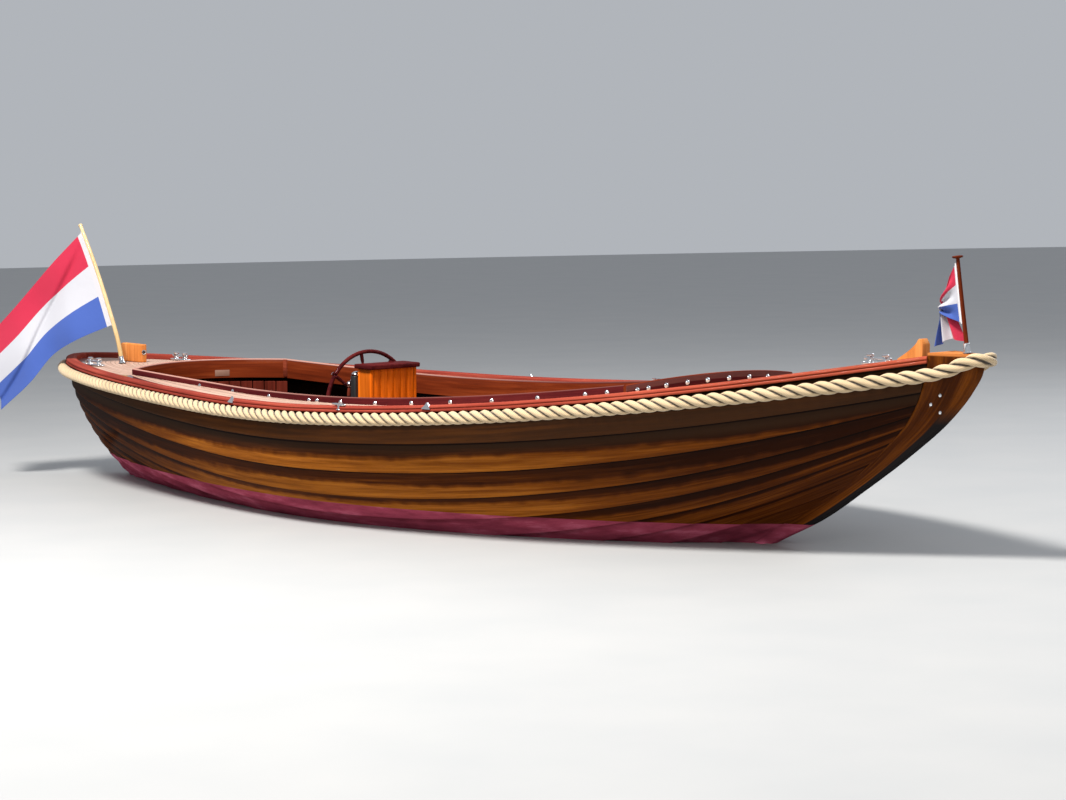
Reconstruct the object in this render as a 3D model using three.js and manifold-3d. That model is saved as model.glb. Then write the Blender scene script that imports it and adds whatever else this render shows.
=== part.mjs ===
// Open motor launch of the Dutch sloop type: a clinker-planked double-ender with a rope fender,
// a coamed cockpit, an inboard engine under a box, a steering console and an inboard rudder.
// Units are millimetres. X points to the bow, Y to port, Z up. The origin is amidships on the
// centreline, at the height of the water the launch floats in.

import * as THREE from 'three';
import Module from 'manifold-3d';
import { mergeVertices } from 'three/addons/utils/BufferGeometryUtils.js';

const wasm = await Module();
wasm.setup();

// Clearance left between two pieces that touch
const SEAT = 0.3;

// All other sizes follow the launch's own base line. Afloat that line dips a little to the bow:
// its slope, and the height of its origin over the water
const TRIM = THREE.MathUtils.degToRad(1.77);
const FLOAT = 70;

// Line of the rope fender's centre, which is the widest line of the launch
const ROPE_RADIUS = 31;
const ROPE_HALF_BREADTH = 1068;
const WIDEST_AT = 84;
const ROPE_END = 3500;
const BOW_POWERS = { inner: 2.24, outer: 1.2 };
const STERN_POWERS = { inner: 1.316, outer: 0.578 };
const ROPE_STANDOFF = 34;
const BOW_TURN = 3438;
const TURN_STEPS = [72, 48, 24, 0];

// Sheer: height of the rope's centre, lowest a little aft of amidships
const LOWEST_AT = -970;
const LOWEST_HEIGHT = 448;
const BOW_RISE = 425;
const STERN_RISE = 12;

// The planking's top edge draws away from the rope towards the bow, and the rope climbs to the
// stem's head: place, rise
const SHEER_LIFT = [[1400, 0], [2000, 4], [2650, 13], [3000, 18], [3235, 20]];
const ROPE_CLIMB = { from: 3290, to: 3450, rise: 36 };

// Heights above the rope's centre
const PLANK_TOP = 29;
const RAIL_BOTTOM = PLANK_TOP + SEAT;
const RAIL_TOP = 60;
const DECK_TOP = 33;
const DECK_THICKNESS = 18;
const RAIL_IN = 48;
const RAIL_OUT = 18;

// Planking
const STRAKES = 10;
const PLANK = 12;
const LAP = 20;
const KEEL_HALF = 38;
const STATIONS = 18;
const CLOSER_TO_ENDS = 0.85;

// Share of the half breadth reached at a share of the height, amidships and at the ends
const MID_FULLNESS = { inner: 2.6, outer: 0.76 };
const BOW_FLARE = 1.1;
const STERN_FLARE = 0.75;
const FULLEST_AT = 0.45;
const FINER_TO_BOW = 1.7;
const FINER_TO_STERN = 2.2;
const HEIGHTS_TO_END = 2.2;
const MIDSHIP = { depth: 820, breadth: 990, steps: 400 };

// Where each lap ends on the stem and the sternpost, and its share of the girth amidships
const LAP_TABLE = [
  // height on stem, height on sternpost, share of girth
  { stem: -265, post: -200, girth: 0.0 },
  { stem: -100, post: -115, girth: 0.1 },
  { stem: 130, post: -35, girth: 0.2 },
  { stem: 310, post: 45, girth: 0.3 },
  { stem: 435, post: 120, girth: 0.4 },
  { stem: 530, post: 190, girth: 0.5 },
  { stem: 590, post: 255, girth: 0.6 },
  { stem: 645, post: 316, girth: 0.7 },
  { stem: 695, post: 374, girth: 0.8 },
  { stem: 750, post: 430, girth: 0.9 },
  { stem: 0, post: 0, girth: 1.0 },
];

// Rabbet on the stem and the sternpost, and the outer face of the stem: height, place
const STEM_RABBET = [[-265, 1450], [-120, 1950], [30, 2240], [180, 2520], [330, 2780], [480, 2970],
  [620, 3120], [760, 3200], [880, 3235]];
const STEM_FACE = [[-330, 1450], [-165, 1960], [0, 2275], [140, 2570], [294, 2815], [452, 3050],
  [625, 3275], [760, 3400], [850, 3452], [960, 3462]];
const STEM_TOP = 918;
const STEM_HEAD_HALF = 22;
const RABBET_GAP = 5.5;
const RABBET_STEP = 9;
const POST = { inside: 55, half: 20, outside: 18, face: 24, gap: 3 };
const POST_RABBET = [[-200, -2820], [-120, -2950], [-20, -3110], [100, -3250], [250, -3365], [400, -3430],
  [520, -3450]];
const KEEL_RABBET = [[-2820, -200], [-2400, -250], [-1700, -300], [-900, -330], [0, -338],
  [800, -325], [1450, -265]];

// Keel, skeg, shaft and rudder
const KEEL_ENDS = { aft: -2820, fore: 1450 };
const KEEL_PLACES = [-2100, -1700, -1200, -700, -200, 300, 800, 1150, 1449];
const HORN_TIMBER = { places: [-2838, -2790, -2600, -2400, -2250], depth: 38 };
const SKEG_HALF = 30;
const KEEL_BOTTOM = [[-2980, -625], [-2200, -625], [-1200, -550], [0, -475], [900, -400],
  [1450, -331]];
const SKEG_END = -2300;
const SHOE = { aft: -2900, top: -590, bottom: -625 };
const SHAFT = { height: -430, slope: THREE.MathUtils.degToRad(8), radius: 15, bore: 15.6 };
const BLADE = [
  // share of the propeller's radius, half width
  { share: 0.12, wide: 34 },
  { share: 0.35, wide: 52 },
  { share: 0.6, wide: 60 },
  { share: 0.85, wide: 48 },
  { share: 1, wide: 16 },
];
const STERN_TUBE = { radius: 34, length: 100 };
const PROPELLER = { from: 112, radius: 125, hub: 30, hubLength: 74, blades: 3, pitch: 190 };
const RUDDER = { stock: -2740, radius: 16, pin: 12.3, fore: -2675, aft: -3075, low: -580,
  high: -264, head: 250 };

// Cockpit coaming: half breadth along its sides, and its bowed after end
const COAMING_AFT = -2350;
const COAMING_CORNER = 230;
const COAMING_FORE = 1850;
const CORNER_SHARES = [0, 0.2, 0.4, 0.6, 0.8, 1];
const COAMING_PLACES = [-2070, -1700, -1300, -900, -500, -100, 300, 700, 1100, 1450,
  COAMING_FORE];
const COAMING_SIDES = [[-2450, 500], [-1600, 565], [-800, 635], [0, 674], [800, 655],
  [1300, 608], [1850, 532]];
const COAMING_RISE = [[-2350, 90], [-1400, 75], [-800, 70], [0, 71], [800, 82], [1850, 98]];
const COAMING_THICKNESS = 20;
const COAMING_DEPTH = 108;
const FRONT_CENTRE = 1930;
const FRONT_CROWN = 35;
const FRONT_SHARES = [-1, -0.75, -0.5, -0.25, 0, 0.25, 0.5, 0.75, 1];
const DECK_CAMBER = [[-3450, 24], [-2450, 22], [-1800, 16], [0, 4], [1800, 6], [3300, 8]];
const FOREDECK_CAMBER = 24;

// Cockpit floor, benches and bulkheads
const SOLE = { aft: -1990, fore: 1580, top: -120, thick: 20, half: 470 };
const BENCH = { aft: -1700, fore: 1300, top: 230, thick: 20, inner: 455, front: 18 };
const STERN_BENCH = { front: -1720, aft: -2457.6 };
const BOW_BENCH = { aft: 1320, fore: 1780 };
const HULL_MARGIN = 27;
const BULKHEADS = [
  // name, place along, lowest height, room under the deck or the coaming
  { name: 'bulkhead_aft', x: -2474, low: -140, room: 10 },
  { name: 'bulkhead_fore', x: 1780.4, low: -60, room: 84 },
];
const BULKHEAD = 16;

// Engine box, engine, console and wheel
const BOX = { aft: -420, fore: 560, half: 270, top: 215, wall: 18, lid: 20, overhang: 14 };
const ENGINE = { aft: -310, fore: 430, half: 190, bottom: -90, top: 165 };
const CONSOLE = { aft: -575, fore: -465, half: 148, top: 616, lid: 22, overhang: 16 };
const WHEEL = { at: -680, height: 420, radius: 280, rim: 11, hub: 42, hubHalf: 26, spokes: 8,
  spokeRoot: 12, spokeTip: 9, turn: 0.175 };
const COLUMN = { radius: 28, bore: 15.6, shaft: 15 };

// Deck fittings, staffs and flags
const BOLLARDS = [
  // name, place along, place across
  { name: 'bow', x: 2880, y: 0 },
  { name: 'quarter_port', x: -2860, y: 295 },
  { name: 'quarter_starboard', x: -2860, y: -295 },
];
const BOLLARD = { base: 150, width: 46, plate: 8, post: 13, height: 46, bar: 8, spread: 44 };
const STERN_BOX = { aft: -3010, fore: -2800, half: 21, height: 104 };
const ENSIGN_STAFF = [[-2836, 500], [-2870, 610], [-2990, 850], [-3130, 1090], [-3262, 1285]];
const STAFF_SIDE = -125;
const STAFF_TOPS = { ensign: 1285, jack: 1322 };
const STAFF_GAPS = { ensign: 4.2, jack: 2.4 };
const STAFF_RADIUS = 13;
const JACKSTAFF_RADIUS = 12;
const JACKSTAFF = [[3378, 910], [3345, 1120], [3315, 1322]];
const CLOTH = 2.4;
const FLY = [-0.68, -0.73];
const ENSIGN_HOIST = { head: 1243, foot: 717, gap: 17 };
const ENSIGN = [
  // away from the staff and down, at the head and at the foot of the cloth, and its wave
  { headAway: 0, headDown: 0, footAway: 0, footDown: 0, wave: 0 },
  { headAway: 150, headDown: 160, footAway: 190, footDown: 80, wave: 24 },
  { headAway: 295, headDown: 345, footAway: 350, footDown: 175, wave: -20 },
  { headAway: 400, headDown: 510, footAway: 470, footDown: 330, wave: 26 },
  { headAway: 485, headDown: 655, footAway: 660, footDown: 500, wave: -12 },
];
const JACK_HOIST = { head: 1288, foot: 1045, gap: 12.6 };
const JACK_FOLDS = [
  // away from the staff, to the side, and down
  { aft: 0, side: 0, down: 0 },
  { aft: 34, side: 14, down: 40 },
  { aft: 70, side: -12, down: 82 },
  { aft: 104, side: 8, down: 118 },
];
const BITT = { x: 3128, half: 24, top: 967, knee: 3010, slope: 24 };

const WOOD_DARK = { color: 0x5e1f16, roughness: 0.25, metalness: 0 };
const WOOD_HULL = { color: 0x8a4318, roughness: 0.22, metalness: 0 };
const WOOD_ORANGE = { color: 0xb5541a, roughness: 0.25, metalness: 0 };
const WOOD_TEAK = { color: 0xb9a08c, roughness: 0.7, metalness: 0 };
const WOOD_ASH = { color: 0xd9b37c, roughness: 0.35, metalness: 0 };
const PAINT_RED = { color: 0x5a1f30, roughness: 0.6, metalness: 0 };
const ROPE = { color: 0xd8c294, roughness: 0.9, metalness: 0 };
const CHROME = { color: 0xc8ccd0, roughness: 0.12, metalness: 1 };
const BRONZE = { color: 0xa98545, roughness: 0.35, metalness: 1 };
const ENGINE_PAINT = { color: 0x3c6b52, roughness: 0.5, metalness: 0.2 };
const FLAG = { color: 0xe8e8ea, roughness: 0.9, metalness: 0 };

const launch = new THREE.Group();

function add(name, geometry, finish) {
  const mesh = new THREE.Mesh(geometry, new THREE.MeshStandardMaterial(finish));
  mesh.name = name;
  launch.add(mesh);
  return mesh;
}

// Smooth curve through the rows of a table, as a function of the table's first column
function follow(table) {
  const rows = table.slice().sort((a, b) => a[0] - b[0]);
  const last = rows.length - 1;
  const slope = (i) => {
    if (i === 0 || i === last) {
      const j = i === 0 ? 0 : last - 1;
      return (rows[j + 1][1] - rows[j][1]) / (rows[j + 1][0] - rows[j][0]);
    }
    const before = (rows[i][1] - rows[i - 1][1]) / (rows[i][0] - rows[i - 1][0]);
    const after = (rows[i + 1][1] - rows[i][1]) / (rows[i + 1][0] - rows[i][0]);
    return before * after <= 0 ? 0 : (2 * before * after) / (before + after);
  };
  return (value) => {
    let i = 0;
    while (i < last - 1 && value > rows[i + 1][0]) {
      i += 1;
    }
    const span = rows[i + 1][0] - rows[i][0];
    const t = (value - rows[i][0]) / span;
    if (t < 0) {
      return rows[i][1] + t * span * slope(i);
    }
    if (t > 1) {
      return rows[i + 1][1] + (t - 1) * span * slope(i + 1);
    }
    const a = 2 * t ** 3 - 3 * t ** 2 + 1;
    const b = t ** 3 - 2 * t ** 2 + t;
    const c = -2 * t ** 3 + 3 * t ** 2;
    const d = t ** 3 - t ** 2;
    return a * rows[i][1] + b * span * slope(i) + c * rows[i + 1][1] + d * span * slope(i + 1);
  };
}

const stemRabbet = follow(STEM_RABBET);
const stemFace = follow(STEM_FACE);
const postRabbet = follow(POST_RABBET);
const keelRabbet = follow(KEEL_RABBET);
const keelBottom = follow(KEEL_BOTTOM);

// Height of the rope's centre at a place along the launch
function ropeHeight(x) {
  if (x > LOWEST_AT) {
    return LOWEST_HEIGHT + BOW_RISE * ((x - LOWEST_AT) / (ROPE_END - LOWEST_AT)) ** 2;
  }
  return LOWEST_HEIGHT + STERN_RISE * ((LOWEST_AT - x) / (ROPE_END + LOWEST_AT)) ** 2;
}

// Height of the line from which the planking's top, the rails and the decks are measured
const sheerLift = follow(SHEER_LIFT);
function sheerHeight(x) {
  return ropeHeight(x) + Math.max(sheerLift(x), 0);
}

// Half breadth of the rope's centre line
function ropeBreadth(x) {
  const fore = x > WIDEST_AT;
  const powers = fore ? BOW_POWERS : STERN_POWERS;
  const reach = fore ? ROPE_END - WIDEST_AT : ROPE_END + WIDEST_AT;
  const share = Math.min(Math.abs(x - WIDEST_AT) / reach, 0.99999);
  return ROPE_HALF_BREADTH * (1 - share ** powers.inner) ** powers.outer;
}

// Half breadth of the planking at the sheer, one rope radius inside the rope's line
function sheerBreadth(x) {
  const slope = (ropeBreadth(x + 1) - ropeBreadth(x - 1)) / 2;
  return ropeBreadth(x) - ROPE_STANDOFF * Math.hypot(1, slope);
}

const SHEER_AFT = postRabbet(sheerHeight(-3450) + PLANK_TOP);
const SHEER_FORE = stemRabbet(sheerHeight(3235) + PLANK_TOP);
const SHEER_POST = sheerHeight(SHEER_AFT) + PLANK_TOP;
const SHEER_STEM = sheerHeight(SHEER_FORE) + PLANK_TOP;
LAP_TABLE[STRAKES].stem = SHEER_STEM;
LAP_TABLE[STRAKES].post = SHEER_POST;
const stemHeightOf = follow(LAP_TABLE.map((row) => [row.girth, row.stem]));
const postHeightOf = follow(LAP_TABLE.map((row) => [row.girth, row.post]));

// Share of the half breadth amidships at a share of the height
function midShape(height) {
  return (1 - (1 - height) ** MID_FULLNESS.inner) ** MID_FULLNESS.outer;
}

// How far a station's shape has turned into the shape of its end
function endShare(s) {
  if (s > FULLEST_AT) {
    return { share: ((s - FULLEST_AT) / (1 - FULLEST_AT)) ** FINER_TO_BOW, flare: BOW_FLARE };
  }
  return { share: ((FULLEST_AT - s) / FULLEST_AT) ** FINER_TO_STERN, flare: STERN_FLARE };
}

// Height share at which amidships the girth reaches a share of its whole
const girthHeights = (() => {
  const { depth, breadth, steps } = MIDSHIP;
  const sums = [0];
  for (let i = 1; i <= steps; i += 1) {
    const rise = depth / steps;
    const run = breadth * (midShape(i / steps) - midShape((i - 1) / steps));
    sums.push(sums[i - 1] + Math.hypot(rise, run));
  }
  const whole = sums[steps];
  return (girth) => {
    let i = 1;
    while (i < steps && sums[i] < girth * whole) {
      i += 1;
    }
    const inside = (girth * whole - sums[i - 1]) / (sums[i] - sums[i - 1]);
    return (i - 1 + inside) / steps;
  };
})();

// Point of the planking's outer surface. s runs from the sternpost (0) to the stem (1) and
// girth from the keel (0) to the sheer (1). Starboard is the mirror image.
function hullPoint(s, girth) {
  const keelX = THREE.MathUtils.lerp(KEEL_ENDS.aft, KEEL_ENDS.fore, s);
  const sheerX = THREE.MathUtils.lerp(SHEER_AFT, SHEER_FORE, s);
  const aftX = postRabbet(postHeightOf(girth));
  const foreX = stemRabbet(stemHeightOf(girth));
  const x = THREE.MathUtils.lerp(aftX, foreX, s);
  const low = keelRabbet(keelX);
  const high = sheerHeight(sheerX) + PLANK_TOP;
  const atMid = girthHeights(girth);
  const postFoot = keelRabbet(KEEL_ENDS.aft);
  const stemFoot = keelRabbet(KEEL_ENDS.fore);
  const atPost = (postHeightOf(girth) - postFoot) / (SHEER_POST - postFoot);
  const atStem = (stemHeightOf(girth) - stemFoot) / (SHEER_STEM - stemFoot);
  const toEnd = (Math.abs(s - 0.5) / 0.5) ** HEIGHTS_TO_END;
  const height = THREE.MathUtils.lerp(atMid, s > 0.5 ? atStem : atPost, toEnd);
  const end = endShare(s);
  const shape = THREE.MathUtils.lerp(midShape(height), height ** end.flare, end.share);
  const y = KEEL_HALF + 2 * SEAT + (sheerBreadth(sheerX) - KEEL_HALF) * shape;
  return new THREE.Vector3(x, y, low + (high - low) * height);
}

// Stations along the launch, closer together at both ends
function stationShare(k, count) {
  const even = k / (count - 1);
  return THREE.MathUtils.lerp(even, 0.5 - 0.5 * Math.cos(Math.PI * even), CLOSER_TO_ENDS);
}

// Direction of the planking along the launch at a station
function alongHull(s, girth) {
  const step = 0.002;
  const ahead = hullPoint(Math.min(s + step, 1), girth);
  const behind = hullPoint(Math.max(s - step, 0), girth);
  return ahead.sub(behind).normalize();
}

// Closed solid through a row of sections with equal numbers of points. Its ends are closed, or
// joined to each other in a ring. A fan closes an end whose outline is convex, and a strip one
// whose second half runs back beside its first half. The faces named in turned are cut along
// their other diagonal.
function loft(sections, { ring = false, fan = false, strip = false, turned = [] } = {}) {
  const size = sections[0].length;
  const positions = [];
  sections.forEach((section) => section.forEach((p) => positions.push(p.x, p.y, p.z)));
  const index = [];
  const spans = ring ? sections.length : sections.length - 1;
  for (let k = 0; k < spans; k += 1) {
    const here = k * size;
    const next = ((k + 1) % sections.length) * size;
    for (let i = 0; i < size; i += 1) {
      const j = (i + 1) % size;
      if (turned.includes(i)) {
        index.push(here + i, next + i, here + j, next + i, next + j, here + j);
      } else {
        index.push(here + i, next + i, next + j, here + i, next + j, here + j);
      }
    }
  }
  if (!ring) {
    const start = (sections.length - 1) * size;
    const wedge = (unused, i) => [0, i + 1, i + 2];
    const fill = (section) => {
      if (strip) {
        return stripCorners(size);
      }
      return fan ? section.slice(2).map(wedge) : flatten(section);
    };
    fill(sections[0]).forEach(([a, b, c]) => index.push(a, b, c));
    fill(sections[sections.length - 1]).forEach(([a, b, c]) => {
      index.push(start + a, start + c, start + b);
    });
  }
  return outward(positions, index);
}

// Triangles between the first half of an outline's points and the second half
function stripCorners(size) {
  const corners = [];
  for (let i = 0; i < size / 2 - 1; i += 1) {
    const pair = size - 1 - i;
    corners.push([i, i + 1, pair - 1], [i, pair - 1, pair]);
  }
  return corners;
}

// Triangles that fill a closed outline in space, seen along its widest direction
function flatten(section) {
  const normal = new THREE.Vector3();
  section.forEach((p, i) => {
    const q = section[(i + 1) % section.length];
    normal.x += (p.y - q.y) * (p.z + q.z);
    normal.y += (p.z - q.z) * (p.x + q.x);
    normal.z += (p.x - q.x) * (p.y + q.y);
  });
  normal.normalize();
  const helper = Math.abs(normal.x) < 0.7 ? new THREE.Vector3(1, 0, 0) : new THREE.Vector3(0, 1, 0);
  const across = new THREE.Vector3().crossVectors(helper, normal).normalize();
  const up = new THREE.Vector3().crossVectors(normal, across);
  const flat = section.map((p) => new THREE.Vector2(p.dot(across), p.dot(up)));
  return THREE.ShapeUtils.triangulateShape(flat, []).map((corners) => corners.sort((a, b) => a - b));
}

function outward(positions, index) {
  let volume = 0;
  const corner = (i) => new THREE.Vector3(positions[3 * i], positions[3 * i + 1],
    positions[3 * i + 2]);
  for (let i = 0; i < index.length; i += 3) {
    const a = corner(index[i]);
    const b = corner(index[i + 1]);
    const c = corner(index[i + 2]);
    volume += a.dot(b.cross(c));
  }
  const order = index.slice();
  if (volume < 0) {
    for (let i = 0; i < index.length; i += 3) {
      order[i + 1] = index[i + 2];
      order[i + 2] = index[i + 1];
    }
  }
  const geometry = new THREE.BufferGeometry();
  geometry.setAttribute('position', new THREE.Float32BufferAttribute(positions, 3));
  geometry.setIndex(order);
  return geometry;
}

// The same sections on the other side of the centreline
function mirror(sections) {
  return sections.map((section) => section.map((p) => new THREE.Vector3(p.x, -p.y, p.z)));
}

function solidOf(geometry) {
  const bare = geometry.clone();
  bare.deleteAttribute('normal');
  bare.deleteAttribute('uv');
  const merged = mergeVertices(bare, 1e-3);
  return new wasm.Manifold(new wasm.Mesh({
    numProp: 3,
    vertProperties: new Float32Array(merged.attributes.position.array),
    triVerts: new Uint32Array(merged.index.array),
  }));
}

function geometryOf(solid) {
  const mesh = solid.getMesh();
  const geometry = new THREE.BufferGeometry();
  geometry.setAttribute('position', new THREE.BufferAttribute(mesh.vertProperties, 3));
  geometry.setIndex(new THREE.BufferAttribute(mesh.triVerts, 1));
  return geometry;
}

function placed(geometry, x, y, z) {
  geometry.translate(x, y, z);
  return geometry;
}

function block(low, high) {
  const size = [0, 1, 2].map((i) => high[i] - low[i]);
  const centre = [0, 1, 2].map((i) => (high[i] + low[i]) / 2);
  return placed(new THREE.BoxGeometry(...size), ...centre);
}

// Planks: each overlaps the one below it on the outside and lies flat on its bevelled edge
function strakeSections(number) {
  const lower = (number - 1) / STRAKES;
  const upper = number / STRAKES;
  const next = Math.min((number + 1) / STRAKES, 1);
  const sections = [];
  for (let k = 0; k < STATIONS; k += 1) {
    const s = stationShare(k, STATIONS);
    const own = plankFrame(s, lower, upper);
    const inLow = own.foot.clone().addScaledVector(own.out, SEAT);
    const outLow = own.foot.clone().addScaledVector(own.out, SEAT + PLANK);
    const outHigh = own.head;
    const lapHere = number === STRAKES ? 0 : LAP;
    const reachHere = number === STRAKES ? (outHigh.z - inLow.z) / own.up.z : own.width + lapHere;
    const inHigh = inLow.clone().addScaledVector(own.up, reachHere);
    const inLap = inLow.clone().lerp(inHigh, LAP / reachHere);
    let edge = outHigh;
    if (number < STRAKES) {
      const above = plankFrame(s, upper, next);
      const lapAbove = number + 1 === STRAKES ? 0 : LAP;
      const reach = above.up.clone().multiplyScalar(above.width + lapAbove);
      edge = above.foot.clone().addScaledVector(reach, LAP / (above.width + lapAbove));
    }
    if (number === STRAKES) {
      sections.push([outLow, outHigh, inHigh, inLap, inLow]);
    } else {
      sections.push([outLow, outHigh, edge, inHigh, inLap, inLow]);
    }
  }
  return sections;
}

// Directions across one plank at a station: up its face and out of the hull
function plankFrame(s, lower, upper) {
  const foot = hullPoint(s, lower);
  const head = hullPoint(s, upper);
  const across = head.clone().sub(foot);
  const distance = across.length();
  across.normalize();
  const along = alongHull(s, lower).add(alongHull(s, upper)).normalize();
  const level = new THREE.Vector3().crossVectors(across, along).normalize();
  if (level.y < 0 && Math.abs(level.y) > Math.abs(level.z)) {
    level.negate();
  } else if (Math.abs(level.y) <= Math.abs(level.z) && level.z > 0) {
    level.negate();
  }
  const lean = Math.asin((PLANK + SEAT) / distance);
  const up = across.clone().multiplyScalar(Math.cos(lean)).addScaledVector(level, -Math.sin(lean));
  const out = level.clone().multiplyScalar(Math.cos(lean)).addScaledVector(across, Math.sin(lean));
  return { foot, head, up, out, width: distance * Math.cos(lean) };
}

for (let number = 1; number <= STRAKES; number += 1) {
  const sections = strakeSections(number);
  const label = String(number).padStart(2, '0');
  const inside = [sections[0].length - 3, sections[0].length - 2];
  const shape = { fan: true, turned: inside };
  add(`strake_port_${label}`, loft(sections, shape), WOOD_HULL);
  add(`strake_starboard_${label}`, loft(mirror(sections), shape), WOOD_HULL);
}

// Half breadth of the planking's outer surface at a place and height
function hullHalf(x, z) {
  const rows = [[keelRabbet(x), KEEL_HALF]];
  for (let i = 0; i <= 40; i += 1) {
    const girth = i / 40;
    const aftX = postRabbet(postHeightOf(girth));
    const foreX = stemRabbet(stemHeightOf(girth));
    const s = (x - aftX) / (foreX - aftX);
    if (s >= 0 && s <= 1) {
      const p = hullPoint(s, girth);
      rows.push([p.z, p.y]);
    }
  }
  let i = 0;
  while (i < rows.length - 2 && z > rows[i + 1][0]) {
    i += 1;
  }
  const share = THREE.MathUtils.clamp((z - rows[i][0]) / (rows[i + 1][0] - rows[i][0]), 0, 1);
  return THREE.MathUtils.lerp(rows[i][1], rows[i + 1][1], share);
}

// Half breadth of the plank ends on the stem (end 1) or on the sternpost (end 0) at a height
function hoodHalf(end, z) {
  let low = 0;
  let high = 1;
  for (let i = 0; i < 30; i += 1) {
    const middle = (low + high) / 2;
    if (hullPoint(end, middle).z < z) {
      low = middle;
    } else {
      high = middle;
    }
  }
  return hullPoint(end, low).y;
}

const point = (x, y, z) => new THREE.Vector3(x, y, z);

// Plan of a line beside the sheer, moved out of the hull by an offset, from the stern's
// centreline to the stem
const POST_FACE = SHEER_AFT - POST.outside;
function besideSheer(offset) {
  const places = [{ x: POST_FACE, y: SEAT / 2, out: [-1, 0] }];
  for (let k = 0; k < STATIONS; k += 1) {
    const s = stationShare(k, STATIONS);
    const p = hullPoint(s, 1);
    const along = alongHull(s, 1);
    const size = Math.hypot(along.x, along.y);
    places.push({ x: p.x, y: p.y, out: [-along.y / size, along.x / size] });
  }
  return places.map((p) => ({ x: p.x + offset * p.out[0], y: p.y + offset * p.out[1], at: p.x }));
}

// Rails: a rounded capping on the top strakes, from the stern to the hood ends
const railEdges = [-RAIL_IN, RAIL_OUT - 3, RAIL_OUT, RAIL_OUT - 9].map(besideSheer);
const railHeights = [[0, RAIL_BOTTOM], [1, RAIL_BOTTOM], [2, RAIL_BOTTOM + 12], [3, RAIL_TOP],
  [0, RAIL_TOP]];
const railSections = railEdges[0].map((unused, k) => railHeights.map(([edge, height]) => {
  const p = railEdges[edge][k];
  return point(p.x, Math.max(p.y, SEAT / 2), sheerHeight(p.at) + height);
}));
add('rail_port', loft(railSections), WOOD_DARK);
add('rail_starboard', loft(mirror(railSections)), WOOD_DARK);

// Rope fender: one closed ring round the hull, under the rail and over the stem's face
const ropePath = [];
const ropeSide = besideSheer(ROPE_STANDOFF);
ropePath.push(point(POST_FACE - ROPE_RADIUS - 1, 0, ropeHeight(POST_FACE)));
[0, 25].forEach((degrees) => {
  const angle = THREE.MathUtils.degToRad(degrees);
  ropePath.push(point(POST_FACE - (ROPE_RADIUS + 1) * Math.cos(angle),
    24 + (ROPE_RADIUS + 1) * Math.sin(angle), ropeHeight(POST_FACE)));
});
const ropeLevel = (x) => {
  const share = THREE.MathUtils.clamp((x - ROPE_CLIMB.from) / (ROPE_CLIMB.to - ROPE_CLIMB.from), 0, 1);
  return ropeHeight(Math.min(x, BOW_TURN)) + ROPE_CLIMB.rise * share ** 1.5;
};
ropeSide.slice(1).forEach((p) => ropePath.push(point(p.x, p.y, ropeHeight(p.at))));
const turnLevel = ropeLevel(ROPE_CLIMB.to);
const bowRadius = stemFace(turnLevel) + ROPE_RADIUS + 2 - BOW_TURN;
const turn = TURN_STEPS.map((degrees) => {
  const angle = THREE.MathUtils.degToRad(degrees);
  const reach = STEM_HEAD_HALF + ROPE_RADIUS + 4;
  return point(BOW_TURN + bowRadius * Math.cos(angle), reach * Math.sin(angle), turnLevel);
});
const lastSide = ropePath[ropePath.length - 1];
[0.35, 0.7].forEach((share) => {
  const between = lastSide.clone().lerp(turn[0], share);
  ropePath.push(point(between.x, between.y, ropeLevel(between.x)));
});
ropePath.push(...turn);
const farSide = ropePath.slice(1, -1).reverse().map((p) => point(p.x, -p.y, p.z));
const ropeRing = ropePath.concat(farSide);

// Sections of a round bar at the points of a path
function barSections(path, radius, sides, ring) {
  return path.map((p, k) => {
    const count = path.length;
    const ahead = ring ? path[(k + 1) % count] : path[Math.min(k + 1, count - 1)];
    const behind = ring ? path[(k + count - 1) % count] : path[Math.max(k - 1, 0)];
    const along = ahead.clone().sub(behind).normalize();
    const helper = Math.abs(along.z) > 0.8 ? point(0, 1, 0) : point(0, 0, 1);
    const across = new THREE.Vector3().crossVectors(along, helper).normalize();
    const up = new THREE.Vector3().crossVectors(across, along).normalize();
    const size = typeof radius === 'function' ? radius(k / (count - 1)) : radius;
    const section = [];
    for (let i = 0; i < sides; i += 1) {
      const angle = (2 * Math.PI * (i + 0.5)) / sides;
      section.push(p.clone().addScaledVector(across, size * Math.cos(angle))
        .addScaledVector(up, size * Math.sin(angle)));
    }
    return section;
  });
}
add('rope_fender', loft(barSections(ropeRing, ROPE_RADIUS, 10, true), { ring: true }), ROPE);

// Keel: the main timber with its skeg, the horn timber over the propeller and the rudder's shoe
const slopeOf = Math.tan(SHAFT.slope);
function keelSection(x, half, low, high, lean = 0) {
  const shift = (z) => x - (z - SHAFT.height) * lean;
  return [point(shift(low), half, low), point(shift(high), half, high),
    point(shift(high), -half, high), point(shift(low), -half, low)];
}
const mainKeel = [keelSection(SKEG_END, SKEG_HALF, SHOE.bottom, keelRabbet(SKEG_END), slopeOf)];
KEEL_PLACES.forEach((x) => {
  mainKeel.push(keelSection(x, KEEL_HALF, keelBottom(x), keelRabbet(x)));
});
const hornTimber = HORN_TIMBER.places.map((x) => (
  keelSection(x, KEEL_HALF, keelRabbet(x) - HORN_TIMBER.depth,
    keelRabbet(Math.max(x, KEEL_ENDS.aft + 1)))));
const shoe = [SHOE.aft, -2200].map((x) => keelSection(x, SKEG_HALF, SHOE.bottom, SHOE.top));
const upright = (radius, low, high, sides) => {
  const bar = new THREE.CylinderGeometry(radius, radius, high - low, sides);
  bar.rotateX(Math.PI / 2);
  return placed(bar, RUDDER.stock, 0, (low + high) / 2);
};
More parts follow.
